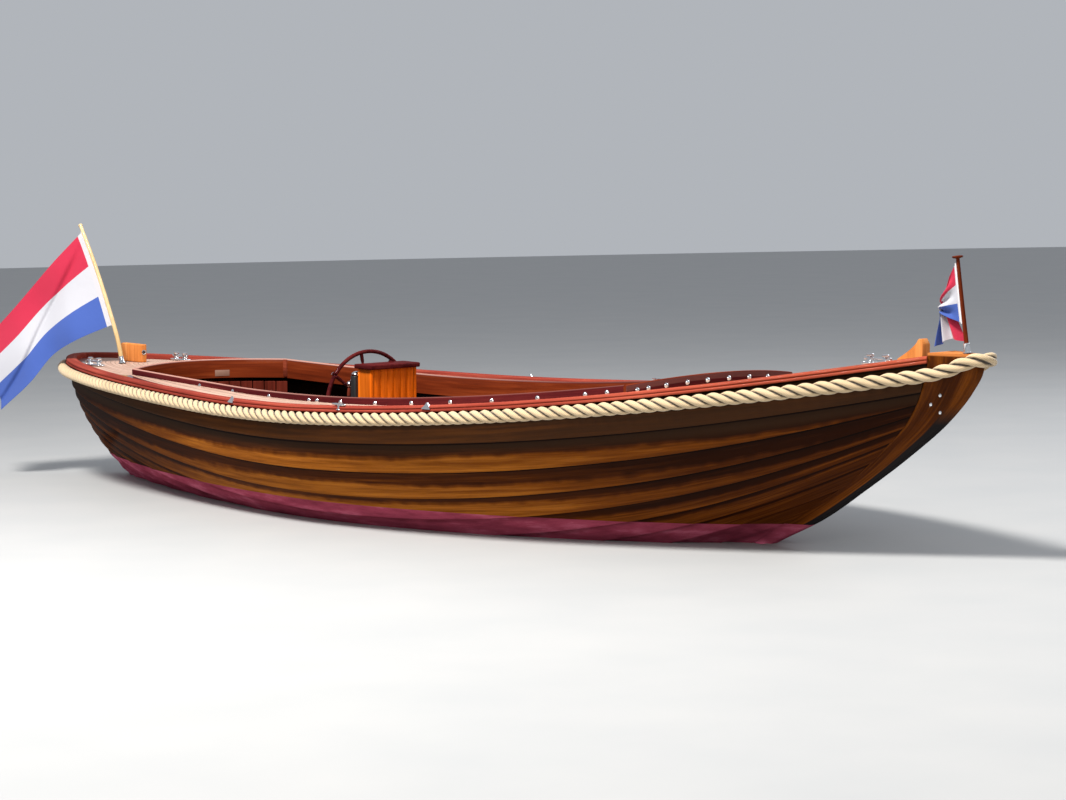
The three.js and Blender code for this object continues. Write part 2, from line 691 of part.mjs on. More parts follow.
const keelSolid = solidOf(loft(mainKeel))
  .add(solidOf(loft(hornTimber)))
  .add(solidOf(loft(shoe)))
  .subtract(solidOf(upright(RUDDER.radius + 1, -400, 100, 24)))
  .subtract(solidOf(upright(RUDDER.pin + 0.7, SHOE.bottom + 12, SHOE.top + 20, 24)));
add('keel', geometryOf(keelSolid), PAINT_RED);

// Stem: a wedge from the plank ends to its narrow rounded face
const stemHeights = LAP_TABLE.map((row) => row.stem).concat([-326, -300, -264, STEM_TOP - 13, STEM_TOP]);
stemHeights.sort((a, b) => a - b);
const stemSections = stemHeights.map((z) => {
  const below = z < LAP_TABLE[0].stem + 1;
  const back = (below ? STEM_RABBET[0][1] : stemRabbet(Math.min(z, SHEER_STEM))) + 0.5;
  const face = stemFace(z);
  const wide = below ? KEEL_HALF - 0.5 : hoodHalf(1, Math.min(z, SHEER_STEM)) - 0.6;
  const narrow = Math.min(STEM_HEAD_HALF, wide);
  const nose = Math.min(8, (face - back) / 3);
  const gap = Math.min(RABBET_GAP, (face - back) / 4);
  const side = [point(back + gap, wide - RABBET_STEP, z), point(back, wide, z),
    point(face - nose, narrow, z), point(face, narrow * 0.55, z)];
  return side.concat(side.slice().reverse().map((p) => point(p.x, -p.y, p.z)));
});
add('stem', loft(stemSections), WOOD_HULL);

// Sternpost: inside and behind the after plank ends, from the keel to under the rail
const postHeights = LAP_TABLE.map((row) => row.post);
postHeights[0] += SEAT + 0.2;
postHeights[STRAKES] -= PLANK_TOP - DECK_TOP + DECK_THICKNESS + 1;
const postSections = postHeights.map((z) => {
  const rabbet = postRabbet(z);
  const wide = hoodHalf(0, z) - 0.6;
  const side = [point(rabbet + POST.inside, POST.half, z), point(rabbet - POST.gap, POST.half, z),
    point(rabbet - POST.gap, wide - RABBET_STEP, z), point(rabbet - 0.5, wide, z),
    point(rabbet - POST.outside, POST.face, z)];
  return side.concat(side.slice().reverse().map((p) => point(p.x, -p.y, p.z)));
});
add('sternpost', loft(postSections), WOOD_HULL);

// Coaming: half breadth of its outer face, then its path from the stern's centreline forward
const coamingSide = follow(COAMING_SIDES);
const coamingRise = follow(COAMING_RISE);
function coamingHalf(x) {
  const corner = COAMING_AFT + COAMING_CORNER;
  const share = x < corner ? (corner - x) / COAMING_CORNER : 0;
  return coamingSide(x) * Math.sqrt(Math.max(1 - share, 0));
}
const coamingPath = CORNER_SHARES.map((share) => {
  const x = COAMING_AFT + COAMING_CORNER * share ** 2;
  return { x, y: share === 0 ? SEAT / 2 : coamingHalf(x) };
});
COAMING_PLACES.forEach((x) => coamingPath.push({ x, y: coamingHalf(x) }));

// Points of a plan path moved sideways, to port for a positive offset on a path going forward
function moved(path, offset) {
  return path.map((p, k) => {
    const ahead = path[Math.min(k + 1, path.length - 1)];
    const behind = path[Math.max(k - 1, 0)];
    let along = [ahead.x - behind.x, ahead.y - behind.y];
    if (k === 0) {
      along = [0, 1];
    }
    const size = Math.hypot(along[0], along[1]);
    return { x: p.x - (offset * along[1]) / size, y: p.y + (offset * along[0]) / size };
  });
}
const coamingInner = moved(coamingPath, -COAMING_THICKNESS);
const coamingTop = (x) => ropeHeight(x) + coamingRise(x);
const coamingSections = coamingPath.map((p, k) => {
  const q = coamingInner[k];
  const top = coamingTop(p.x);
  const low = top - COAMING_DEPTH;
  return [point(p.x, p.y, low), point(p.x, p.y, top), point(q.x, q.y, top), point(q.x, q.y, low)];
});
add('coaming_port', loft(coamingSections), WOOD_DARK);
add('coaming_starboard', loft(mirror(coamingSections)), WOOD_DARK);

// Front board of the coaming, bent forward and crowned in the middle
const frontPlace = (y) => FRONT_CENTRE
  - (FRONT_CENTRE - COAMING_FORE) * (y / coamingHalf(COAMING_FORE)) ** 2;
const frontHalf = coamingHalf(COAMING_FORE);
const frontSections = FRONT_SHARES.map((share) => {
  const y = share * frontHalf;
  const x = frontPlace(y) + SEAT;
  const top = coamingTop(COAMING_FORE) + FRONT_CROWN * (1 - share ** 2);
  const low = coamingTop(COAMING_FORE) - COAMING_DEPTH;
  return [point(x, y, low), point(x, y, top), point(x + COAMING_THICKNESS, y, top),
    point(x + COAMING_THICKNESS, y, low)];
});
add('coaming_front', loft(frontSections), WOOD_DARK);

// Side decks from the stern's centreline to the front board, between rail and coaming
const deckInner = moved(coamingPath, SEAT);
const deckCamber = follow(DECK_CAMBER);
const deckOuter = besideSheer(-RAIL_IN - SEAT);
function railPoint(distance) {
  const lengths = [0];
  for (let k = 1; k < deckOuter.length; k += 1) {
    const step = Math.hypot(deckOuter[k].x - deckOuter[k - 1].x, deckOuter[k].y - deckOuter[k - 1].y);
    lengths.push(lengths[k - 1] + step);
  }
  return pointAlong(deckOuter, lengths, distance);
}
function pointAlong(path, lengths, distance) {
  let k = 0;
  while (k < path.length - 2 && distance > lengths[k + 1]) {
    k += 1;
  }
  const t = (distance - lengths[k]) / (lengths[k + 1] - lengths[k]);
  return {
    x: THREE.MathUtils.lerp(path[k].x, path[k + 1].x, t),
    y: THREE.MathUtils.lerp(path[k].y, path[k + 1].y, t),
  };
}
function railAt(x) {
  let k = 1;
  while (k < deckOuter.length - 2 && x > deckOuter[k + 1].x) {
    k += 1;
  }
  const t = (x - deckOuter[k].x) / (deckOuter[k + 1].x - deckOuter[k].x);
  return { x, y: THREE.MathUtils.lerp(deckOuter[k].y, deckOuter[k + 1].y, t) };
}
const sternLength = (() => {
  let low = 0;
  let high = 3000;
  for (let i = 0; i < 40; i += 1) {
    const middle = (low + high) / 2;
    if (railPoint(middle).x < COAMING_PLACES[0]) {
      low = middle;
    } else {
      high = middle;
    }
  }
  return low;
})();
const deckSections = deckInner.map((p, k) => {
  const inCorner = k < CORNER_SHARES.length;
  const rail = inCorner ? railPoint((sternLength * k) / CORNER_SHARES.length) : railAt(p.x);
  const outerY = k === 0 ? SEAT / 2 : rail.y - 0.1;
  const outer = sheerHeight(rail.x) + DECK_TOP;
  const inner = sheerHeight(p.x) + DECK_TOP + deckCamber(p.x);
  return [point(rail.x, outerY, outer - DECK_THICKNESS), point(rail.x, outerY, outer),
    point(p.x, Math.max(p.y, SEAT / 2), inner),
    point(p.x, Math.max(p.y, SEAT / 2), inner - DECK_THICKNESS)];
});
add('side_deck_port', loft(deckSections), WOOD_TEAK);
add('side_deck_starboard', loft(mirror(deckSections)), WOOD_TEAK);

// Foredeck from the front board to the stem, cambered across
const FOREDECK_END = SHEER_FORE - 3;
const boardFront = COAMING_THICKNESS + 2 * SEAT + 1;
const foredeckHeight = (x, share) => sheerHeight(x) + DECK_TOP
  + Math.min(1, (FOREDECK_END + 200 - x) / 1000)
  * (deckCamber(x) * (1 - share ** 8) + FOREDECK_CAMBER * (1 - share ** 2));
const boardShare = frontHalf / railAt(COAMING_FORE + boardFront).y;
const acrossShares = [-1].concat(FRONT_SHARES.map((share) => share * boardShare), [1]);
const foredeckSections = [0, 0.15, 0.32, 0.5, 0.68, 0.84, 1].map((t) => {
  const half = railAt(THREE.MathUtils.lerp(COAMING_FORE + boardFront, FOREDECK_END, t)).y - 0.2;
  const top = acrossShares.map((share) => {
    const onBoard = Math.min(Math.abs(share) / boardShare, 1) * frontHalf;
    const x = THREE.MathUtils.lerp(frontPlace(onBoard) + boardFront, FOREDECK_END, t);
    return point(x, share * half, foredeckHeight(x, share));
  });
  const low = top.slice().reverse().map((p) => point(p.x, p.y, p.z - DECK_THICKNESS));
  return top.concat(low);
});
add('foredeck', loft(foredeckSections, { strip: true }), WOOD_TEAK);

// Inside of the hull: floor on its bearer, benches with their front boards, bulkheads
const insideHalf = (x, z) => Math.max(hullHalf(x, z - HULL_MARGIN) - HULL_MARGIN, 20);
function places(from, to, count) {
  return Array.from({ length: count }, (unused, k) => THREE.MathUtils.lerp(from, to, k / (count - 1)));
}
const flatSection = (x, from, to, low, high) => [point(x, from, low), point(x, from, high),
  point(x, to, high), point(x, to, low)];

const bearerTop = SOLE.top - SOLE.thick - SEAT;
const bearer = KEEL_PLACES.slice(1, -1).map((x) => (
  flatSection(x, -SKEG_HALF, SKEG_HALF, keelRabbet(x) + SEAT, bearerTop)));
add('floor_bearer', loft(bearer), WOOD_HULL);

const sole = places(SOLE.aft, SOLE.fore, 13).map((x) => {
  const half = Math.min(SOLE.half, insideHalf(x, SOLE.top - SOLE.thick));
  return flatSection(x, -half, half, SOLE.top - SOLE.thick, SOLE.top);
});
add('cockpit_sole', loft(sole), WOOD_TEAK);

const seatLow = BENCH.top - BENCH.thick;
const sideBench = places(BENCH.aft, BENCH.fore, 10).map((x) => {
  const outer = insideHalf(x, seatLow);
  const foot = SOLE.top + SEAT;
  const front = Math.min(BENCH.inner, insideHalf(x, foot) - BENCH.front);
  return [point(x, front, foot), point(x, front, BENCH.top), point(x, outer, BENCH.top),
    point(x, outer, seatLow), point(x, front + BENCH.front, seatLow),
    point(x, front + BENCH.front, foot)];
});
add('bench_port', loft(sideBench), WOOD_HULL);
add('bench_starboard', loft(mirror(sideBench)), WOOD_HULL);

function endBench(name, from, to, frontAt) {
  const top = places(from, to, 5).map((x) => {
    const half = insideHalf(x, seatLow);
    return flatSection(x, -half, half, seatLow, BENCH.top);
  });
  const half = Math.min(BENCH.inner - 2, insideHalf(frontAt, SOLE.top) - 2);
  const toward = Math.sign((from + to) / 2 - frontAt);
  const edges = [frontAt, frontAt + toward * BENCH.front].sort((a, b) => a - b);
  const front = block([edges[0], -half, SOLE.top + SEAT], [edges[1], half, seatLow + 5]);
  add(name, geometryOf(solidOf(loft(top)).add(solidOf(front))), WOOD_HULL);
}
endBench('bench_stern', STERN_BENCH.aft, STERN_BENCH.front, STERN_BENCH.front);
endBench('bench_bow', BOW_BENCH.aft, BOW_BENCH.fore, BOW_BENCH.aft);

BULKHEADS.forEach(({ name, x, low, room }) => {
  const high = ropeHeight(x) + DECK_TOP - DECK_THICKNESS - room;
  const outline = (at) => {
    const half = (z) => Math.min(insideHalf(x, z), insideHalf(x + BULKHEAD, z));
    const side = places(low, high, 9).map((z) => point(at, half(z), z));
    return side.concat(side.slice().reverse().map((p) => point(at, -p.y, p.z)));
  };
  add(name, loft([outline(x), outline(x + BULKHEAD)]), WOOD_HULL);
});

// Engine in its box, and the steering console
function boxWalls(low, high, wall) {
  const outer = new THREE.Shape([[low[0], low[1]], [high[0], low[1]], [high[0], high[1]],
    [low[0], high[1]]].map((p) => new THREE.Vector2(...p)));
  outer.holes.push(new THREE.Path([[low[0] + wall, low[1] + wall], [low[0] + wall, high[1] - wall],
    [high[0] - wall, high[1] - wall], [high[0] - wall, low[1] + wall]]
    .map((p) => new THREE.Vector2(...p))));
  const walls = new THREE.ExtrudeGeometry(outer, { depth: high[2] - low[2], bevelEnabled: false });
  return placed(walls, 0, 0, low[2]);
}
const floor = SOLE.top + SEAT;
add('engine_box', boxWalls([BOX.aft, -BOX.half, floor], [BOX.fore, BOX.half, BOX.top], BOX.wall),
  WOOD_ORANGE);
add('engine_box_lid', block(
  [BOX.aft - BOX.overhang, -BOX.half - BOX.overhang, BOX.top + SEAT],
  [BOX.fore + BOX.overhang, BOX.half + BOX.overhang, BOX.top + SEAT + BOX.lid],
), WOOD_TEAK);
add('engine', block([ENGINE.aft, -ENGINE.half, floor], [ENGINE.fore, ENGINE.half, ENGINE.top]),
  ENGINE_PAINT);
const consoleBody = solidOf(boxWalls([CONSOLE.aft, -CONSOLE.half, floor],
  [CONSOLE.fore, CONSOLE.half, CONSOLE.top], BOX.wall));
const consoleTop = block(
  [CONSOLE.aft - CONSOLE.overhang, -CONSOLE.half - CONSOLE.overhang, CONSOLE.top - 2],
  [CONSOLE.fore + CONSOLE.overhang, CONSOLE.half + CONSOLE.overhang, CONSOLE.top + CONSOLE.lid],
);
add('console', geometryOf(consoleBody.add(solidOf(consoleTop))), WOOD_ORANGE);

// A ring turned about the X axis between two places
function bushing(from, to, bore, radius, sides) {
  const outline = [[bore, from], [radius, from], [radius, to], [bore, to], [bore, from]];
  const ring = new THREE.LatheGeometry(outline.map((p) => new THREE.Vector2(...p)), sides);
  ring.rotateZ(-Math.PI / 2);
  return geometryOf(solidOf(ring));
}
function barAlongX(from, to, radius, sides) {
  const bar = new THREE.CylinderGeometry(radius, radius, to - from, sides);
  bar.rotateZ(-Math.PI / 2);
  return placed(bar, (from + to) / 2, 0, 0);
}
add('steering_column', placed(bushing(WHEEL.at + 62, CONSOLE.aft - SEAT, COLUMN.bore, COLUMN.radius,
  20), 0, 0, WHEEL.height), CHROME);

// Steering wheel: rim, spokes with their handles' roots, hub and shaft
const rim = new THREE.TorusGeometry(WHEEL.radius - WHEEL.rim, WHEEL.rim, 8, 36);
rim.rotateY(Math.PI / 2);
let wheel = solidOf(rim).add(solidOf(barAlongX(-WHEEL.hubHalf, WHEEL.hubHalf, WHEEL.hub, 20)))
  .add(solidOf(barAlongX(20, CONSOLE.aft - WHEEL.at - 4, COLUMN.shaft, 16)));
for (let i = 0; i < WHEEL.spokes; i += 1) {
  const spoke = new THREE.CylinderGeometry(WHEEL.spokeTip, WHEEL.spokeRoot, WHEEL.radius - WHEEL.rim, 8);
  spoke.translate(0, (WHEEL.radius - WHEEL.rim) / 2, 0);
  spoke.rotateX((2 * Math.PI * i) / WHEEL.spokes + Math.PI / 2 + WHEEL.turn);
  wheel = wheel.add(solidOf(spoke));
}
add('steering_wheel', placed(geometryOf(wheel), WHEEL.at, 0, WHEEL.height), WOOD_HULL);

// Propeller on its shaft in the stern tube, turned to the shaft's slope
function onShaft(geometry) {
  geometry.rotateY(-SHAFT.slope);
  return placed(geometry, SKEG_END, 0, SHAFT.height);
}
add('stern_tube', onShaft(bushing(-STERN_TUBE.length, -SEAT, SHAFT.bore, STERN_TUBE.radius, 20)),
  BRONZE);
const hubEnd = -PROPELLER.from - PROPELLER.hubLength;
const hub = barAlongX(hubEnd, -PROPELLER.from, PROPELLER.hub, 18);
let propeller = solidOf(hub).add(solidOf(barAlongX(-PROPELLER.from - 10, -3, SHAFT.radius, 16)));
const bladeSections = BLADE.map(({ share, wide }) => {
  const r = share * PROPELLER.radius;
  const twist = Math.atan2(PROPELLER.pitch, 2 * Math.PI * r);
  const along = point(Math.sin(twist), Math.cos(twist), 0);
  const through = point(-Math.cos(twist), Math.sin(twist), 0);
  const centre = point(hubEnd + PROPELLER.hubLength / 2, 0, r);
  const thick = THREE.MathUtils.lerp(5, 2.5, share);
  return [[wide, 0], [0, thick], [-wide, 0], [0, -thick]].map(([a, b]) => (
    centre.clone().addScaledVector(along, a).addScaledVector(through, b)));
});
for (let i = 0; i < PROPELLER.blades; i += 1) {
  const blade = loft(bladeSections);
  blade.rotateX((2 * Math.PI * i) / PROPELLER.blades);
  propeller = propeller.add(solidOf(blade));
}
add('propeller', onShaft(geometryOf(propeller)), BRONZE);

// Rudder: blade, stock through the counter, and the pin in the keel's shoe
const bladeOutline = (z) => [point(RUDDER.fore, 8, z), point(RUDDER.stock, 14, z),
  point(RUDDER.aft, 4, z), point(RUDDER.aft, -4, z), point(RUDDER.stock, -14, z),
  point(RUDDER.fore, -8, z)];
const rudderBlade = [bladeOutline(RUDDER.low), bladeOutline(RUDDER.high)];
const rudderSolid = solidOf(loft(rudderBlade))
  .add(solidOf(upright(RUDDER.radius, RUDDER.low, RUDDER.head, 24)))
  .add(solidOf(upright(RUDDER.pin, SHOE.bottom + 14, RUDDER.low + 5, 24)));
add('rudder', geometryOf(rudderSolid), PAINT_RED);

// Height of the top of a piece under a point
const down = point(0, 0, -1);
function topOf(name, x, y) {
  const piece = launch.getObjectByName(name);
  piece.geometry.computeBoundingSphere();
  piece.material.side = THREE.DoubleSide;
  const hits = new THREE.Raycaster(point(x, y, 3000), down).intersectObject(piece);
  piece.material.side = THREE.FrontSide;
  return hits[0].point.z;
}
function highest(name, xs, ys) {
  return Math.max(...xs.flatMap((x) => ys.map((y) => topOf(name, x, y)))) + SEAT;
}

// Fittings on deck
BOLLARDS.forEach(({ name, x, y }) => {
  const deck = { bow: 'foredeck', quarter_port: 'side_deck_port' }[name] || 'side_deck_starboard';
  const half = [BOLLARD.base / 2, BOLLARD.width / 2];
  const foot = highest(deck, [x - half[0], x, x + half[0]], [y - half[1], y, y + half[1]]);
  let fitting = solidOf(block([x - half[0], y - half[1], foot],
    [x + half[0], y + half[1], foot + BOLLARD.plate]));
  [-1, 1].forEach((side) => {
    const post = new THREE.CylinderGeometry(BOLLARD.post, BOLLARD.post, BOLLARD.height, 14);
    post.rotateX(Math.PI / 2);
    post.translate(x + side * BOLLARD.spread, y, foot + BOLLARD.height / 2 + 1);
    fitting = fitting.add(solidOf(post));
  });
  const bar = barAlongX(-BOLLARD.base / 2, BOLLARD.base / 2, BOLLARD.bar, 12);
  bar.translate(x, y, foot + BOLLARD.height * 0.55);
  add(`bollard_${name}`, geometryOf(fitting.add(solidOf(bar))), CHROME);
});

const blockFoot = highest('side_deck_port', [STERN_BOX.aft, STERN_BOX.fore], [1, STERN_BOX.half]);
add('stern_block', block([STERN_BOX.aft, -STERN_BOX.half, blockFoot],
  [STERN_BOX.fore, STERN_BOX.half, blockFoot + STERN_BOX.height]), WOOD_HULL);

const bittFoot = highest('foredeck', [BITT.knee, BITT.x + BITT.half], [-BITT.half, 0, BITT.half]);
const bittSide = [[BITT.x + BITT.half, bittFoot], [BITT.x + BITT.half, BITT.top - BITT.slope],
  [BITT.x + 10, BITT.top], [BITT.x + 2, BITT.top], [BITT.x - 22, BITT.top - BITT.slope],
  [BITT.x - 64, bittFoot + 30], [BITT.knee, bittFoot + 6], [BITT.knee, bittFoot]];
add('bow_bitt', loft([-BITT.half, BITT.half].map((y) => bittSide.map(([x, z]) => point(x, y, z)))),
  WOOD_HULL);

// Staffs and flags
const ensignStaffAt = follow(ENSIGN_STAFF.map(([x, z]) => [z, x]));
const jackstaffAt = follow(JACKSTAFF.map(([x, z]) => [z, x]));
function staff(name, at, side, radius, foot, top, finish) {
  const path = places(foot, top, 7).map((z) => point(at(z), side, z));
  add(name, loft(barSections(path, radius, 10, false)), finish);
}
const ensignFoot = topOf('side_deck_starboard', ENSIGN_STAFF[0][0], STAFF_SIDE)
  + STAFF_GAPS.ensign;
staff('ensign_staff', ensignStaffAt, STAFF_SIDE, STAFF_RADIUS, ensignFoot, STAFF_TOPS.ensign,
  WOOD_ASH);
staff('jackstaff', jackstaffAt, 0, JACKSTAFF_RADIUS, STEM_TOP + STAFF_GAPS.jack, STAFF_TOPS.jack,
  WOOD_ORANGE);

// A flag is a thin cloth through rows of points, each row running from its head to its foot
function cloth(rows) {
  const sections = rows.map((row, k) => {
    const ahead = rows[Math.min(k + 1, rows.length - 1)];
    const behind = rows[Math.max(k - 1, 0)];
    const sides = row.map((p, i) => {
      const fly = ahead[i].clone().sub(behind[i]);
      const drop = row[Math.min(i + 1, row.length - 1)].clone().sub(row[Math.max(i - 1, 0)]);
      const normal = new THREE.Vector3().crossVectors(fly, drop).normalize();
      return [p.clone().addScaledVector(normal, CLOTH / 2),
        p.clone().addScaledVector(normal, -CLOTH / 2)];
    });
    return sides.map((pair) => pair[0]).concat(sides.map((pair) => pair[1]).reverse());
  });
  return loft(sections, { strip: true });
}
const ensignRows = ENSIGN.map((row) => places(0, 1, 5).map((share) => {
  const hoist = THREE.MathUtils.lerp(ENSIGN_HOIST.head, ENSIGN_HOIST.foot, share);
  const away = THREE.MathUtils.lerp(row.headAway, row.footAway, share);
  const wave = row.wave * (0.5 + share);
  return point(ensignStaffAt(hoist) - ENSIGN_HOIST.gap + away * FLY[0] - wave * FLY[1],
    STAFF_SIDE + away * FLY[1] + wave * FLY[0],
    hoist - THREE.MathUtils.lerp(row.headDown, row.footDown, share));
}));
add('ensign', cloth(ensignRows), FLAG);

const jackRows = JACK_FOLDS.map((row) => places(0, 1, 4).map((share) => {
  const hoist = THREE.MathUtils.lerp(JACK_HOIST.head, JACK_HOIST.foot, share);
  return point(jackstaffAt(hoist) - JACK_HOIST.gap - row.aft * (1 - 0.3 * share),
    row.side * (0.6 + 0.4 * share), hoist - row.down);
}));
add('jack_flag', cloth(jackRows), FLAG);

// The launch as it floats
launch.rotation.y = TRIM;
launch.position.z = FLOAT;

export default launch;
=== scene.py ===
"""Looks of an open wooden motor launch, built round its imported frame.

Metres, +X to the bow, +Y to port, +Z up. The origin is amidships on the centreline, at the
height of the water that the launch floats in. The hull's surface is worked out again from its
driving dimensions, so that planks, rails and rope are smooth where the frame is faceted.
"""

import math

import bmesh
import bpy
import numpy as np
from mathutils import Euler, Matrix, Vector


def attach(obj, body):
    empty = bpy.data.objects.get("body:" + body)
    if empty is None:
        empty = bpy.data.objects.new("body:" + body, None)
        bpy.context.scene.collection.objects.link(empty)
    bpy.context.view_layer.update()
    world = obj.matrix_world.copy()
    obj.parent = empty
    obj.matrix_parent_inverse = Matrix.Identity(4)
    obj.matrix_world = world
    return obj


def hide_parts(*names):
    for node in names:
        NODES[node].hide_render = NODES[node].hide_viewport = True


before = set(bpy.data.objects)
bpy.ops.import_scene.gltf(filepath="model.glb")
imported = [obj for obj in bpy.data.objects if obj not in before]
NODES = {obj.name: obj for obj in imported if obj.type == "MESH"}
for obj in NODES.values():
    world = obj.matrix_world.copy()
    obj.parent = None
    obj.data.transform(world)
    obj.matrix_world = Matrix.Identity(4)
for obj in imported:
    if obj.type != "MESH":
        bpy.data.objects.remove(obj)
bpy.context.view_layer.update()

# Clearance between two pieces that touch
SEAT = 0.0003

# All places below follow the launch's own base line. Afloat that line dips a little to the bow:
# its slope, and the height of its origin over the water
TRIM = math.radians(1.77)
FLOAT = 0.070
AFLOAT = Matrix.Translation((0, 0, FLOAT)) @ Matrix.Rotation(TRIM, 4, "Y")

# Line of the rope fender's centre, which is the widest line of the launch
ROPE_RADIUS = 0.031
ROPE_HALF_BREADTH = 1.068
WIDEST_AT = 0.084
ROPE_END = 3.5
BOW_POWERS = (2.24, 1.2)
STERN_POWERS = (1.316, 0.578)
ROPE_STANDOFF = 0.034
ROPE_CLIMB = {"from": 3.29, "to": 3.45, "rise": 0.036}
BOW_TURN = 3.438
STEM_HEAD_HALF = 0.022

# Length of one turn of the rope's lay aft and at the bow, where it starts to grow, and its strands
LAY = (0.183, 0.243)
LAY_FROM = 1.2
STRAND = 0.0141
STRANDS = 3
ROPE_STEP = 0.0115

# Sheer, and the heights above the rope's centre
LOWEST_AT = -0.97
LOWEST_HEIGHT = 0.448
BOW_RISE = 0.425
STERN_RISE = 0.012
SHEER_LIFT = [(1.4, 0.0), (2.0, 0.004), (2.65, 0.013), (3.0, 0.018), (3.235, 0.020)]
PLANK_TOP = 0.029
RAIL_TOP = 0.060
RAIL_IN = 0.048
DECK_TOP = 0.033
DECK_THICKNESS = 0.018

# Planking
STRAKES = 10
PLANK = 0.012
LAP = 0.020
KEEL_HALF = 0.038
STATIONS = 110
CLOSER_TO_ENDS = 0.85
LAP_TABLE = [
    # height on the stem, height on the sternpost, share of the girth amidships
    (-0.265, -0.200, 0.0),
    (-0.100, -0.115, 0.1),
    (0.130, -0.035, 0.2),
    (0.310, 0.045, 0.3),
    (0.435, 0.120, 0.4),
    (0.530, 0.190, 0.5),
    (0.590, 0.255, 0.6),
    (0.645, 0.316, 0.7),
    (0.695, 0.374, 0.8),
    (0.750, 0.430, 0.9),
]
STEM_RABBET = [(-0.265, 1.45), (-0.12, 1.95), (0.03, 2.24), (0.18, 2.52), (0.33, 2.78),
               (0.48, 2.97), (0.62, 3.12), (0.76, 3.2), (0.88, 3.235)]
STEM_FACE = [(-0.33, 1.45), (-0.165, 1.96), (0.0, 2.275), (0.14, 2.57), (0.294, 2.815),
             (0.452, 3.05), (0.625, 3.275), (0.76, 3.4), (0.85, 3.452), (0.96, 3.462)]
POST_RABBET = [(-0.2, -2.82), (-0.12, -2.95), (-0.02, -3.11), (0.1, -3.25), (0.25, -3.365),
               (0.4, -3.43), (0.52, -3.45)]
KEEL_RABBET = [(-2.82, -0.2), (-2.4, -0.25), (-1.7, -0.3), (-0.9, -0.33), (0.0, -0.338),
               (0.8, -0.325), (1.45, -0.265)]

# Share of the half breadth reached at a share of the height, amidships and at the ends
MID_FULLNESS = (2.6, 0.76)
BOW_FLARE = 1.1
STERN_FLARE = 0.75
FULLEST_AT = 0.45
FINER_TO_BOW = 1.7
FINER_TO_STERN = 2.2
HEIGHTS_TO_END = 2.2
KEEL_ENDS = (-2.82, 1.45)
GIRTH_DEPTH = 0.82
GIRTH_BREADTH = 0.99

# Cockpit coaming
COAMING_AFT = -2.35
COAMING_CORNER = 0.23
COAMING_FORE = 1.85
COAMING_SIDES = [(-2.45, 0.5), (-1.6, 0.565), (-0.8, 0.635), (0.0, 0.674), (0.8, 0.655),
                 (1.3, 0.608), (1.85, 0.532)]
COAMING_RISE = [(-2.35, 0.09), (-1.4, 0.075), (-0.8, 0.07), (0.0, 0.071), (0.8, 0.082),
                (1.85, 0.098)]
COAMING_THICKNESS = 0.020
COAMING_DEPTH = 0.108
FRONT_CENTRE = 1.93
FRONT_CROWN = 0.035
DECK_CAMBER = [(-3.45, 0.024), (-2.45, 0.022), (-1.8, 0.016), (0.0, 0.004), (1.8, 0.006),
               (3.3, 0.008)]
FOREDECK_CAMBER = 0.024
FLAT_FROM = 0.2
# How fast the side decks' inner edges close in under the front board
DECK_CLOSING = 0.30

# Stem, from its after edge forward
STEM_TOP = 0.918
RABBET_GAP = 0.0055
RABBET_STEP = 0.009
STEM_SCREWS = [(3.276, 0.74), (3.23, 0.699), (3.264, 0.666)]

# Cockpit
SOLE_HALF = 0.47
INSIDE_HULL = 0.036
WHEEL = {"at": -0.68, "height": 0.42, "radius": 0.28, "rim": 0.0105, "spokes": 8,
         "turn": 0.175, "stud": 0.94}
CONSOLE = {"aft": -0.575, "fore": -0.465, "half": 0.148, "lid": 0.022, "overhang": 0.016,
           "wall": 0.018, "post": 0.0075}
DIAL_SIDE = 0.078
DIAL_DOWN = 0.075
LEVER = {"side": -0.148, "foot": 0.30, "cap": (-0.594, 0.588), "ball": (-0.650, 0.528),
         "grip": (-0.656, 0.462), "arm": 0.0055, "ball_radius": 0.0150}
LEVER_GRIP = [(0.25, 0.006), (0.35, 0.0085), (0.7, 0.010), (0.92, 0.010), (1, 0.005)]
BOX = {"aft": -0.42, "fore": 0.56, "half": 0.27, "top": 0.215, "wall": 0.018}
BOX_RINGS = (-0.34, 0.48)
SLAT = {"pitch": 0.066, "wide": 0.0615, "thick": 0.012, "low": 0.2306, "end": -2.08}
BATTEN = -2.105
PLATE = {"across": 0.20, "down": 0.080, "wide": 0.085, "high": 0.035}

# Fittings. A turned profile gives the radius and the distance along the axis
COAMING_STUDS = (-1.38, -1.033, -0.677, -0.306, -0.235, -0.036, 0.236, 0.509, 0.789, 1.066,
                 1.350, 1.632, 1.757)
FRONT_STUDS = (-0.480, -0.425, -0.334, -0.219, -0.102, 0.031, 0.170, 0.310, 0.440)
STUD_DOWN = 0.028
FRONT_STUD_DOWN = 0.030
STUD_PROFILE = [(0.0125, -0.0005), (0.0130, 0.0012), (0.0105, 0.0045), (0.0065, 0.0075),
                (0.0010, 0.0090)]
SCREW_PROFILE = [(0.0080, -0.0010), (0.0080, 0.0010), (0.0050, 0.0026), (0.0010, 0.0032)]
RAIL_EYES = (-0.517, 1.012)
RAIL_CLEAT = 0.43
EYE_OUT = 0.010
CLEAT_OUT = 0.012
LEDGE = 0.0425
EYE_STEPS = ((1.0, 0.0), (0.92, 0.004), (0.30, 0.022), (0.16, 0.030))
CLEAT_FOOT = [(0.014, 0.0), (0.013, 0.004), (0.007, 0.006), (0.006, 0.022)]
CLEAT_BAR = [(-0.050, 0.001), (-0.046, 0.0042), (-0.02, 0.006), (0.02, 0.006), (0.046, 0.0042),
             (0.050, 0.001)]
BOLLARD = {"plate": 0.009, "post": 0.044, "screw_along": 0.0230, "screw_across": 0.0124,
           "screw_up": 0.0085, "bar": 0.075, "bar_up": 0.0253}
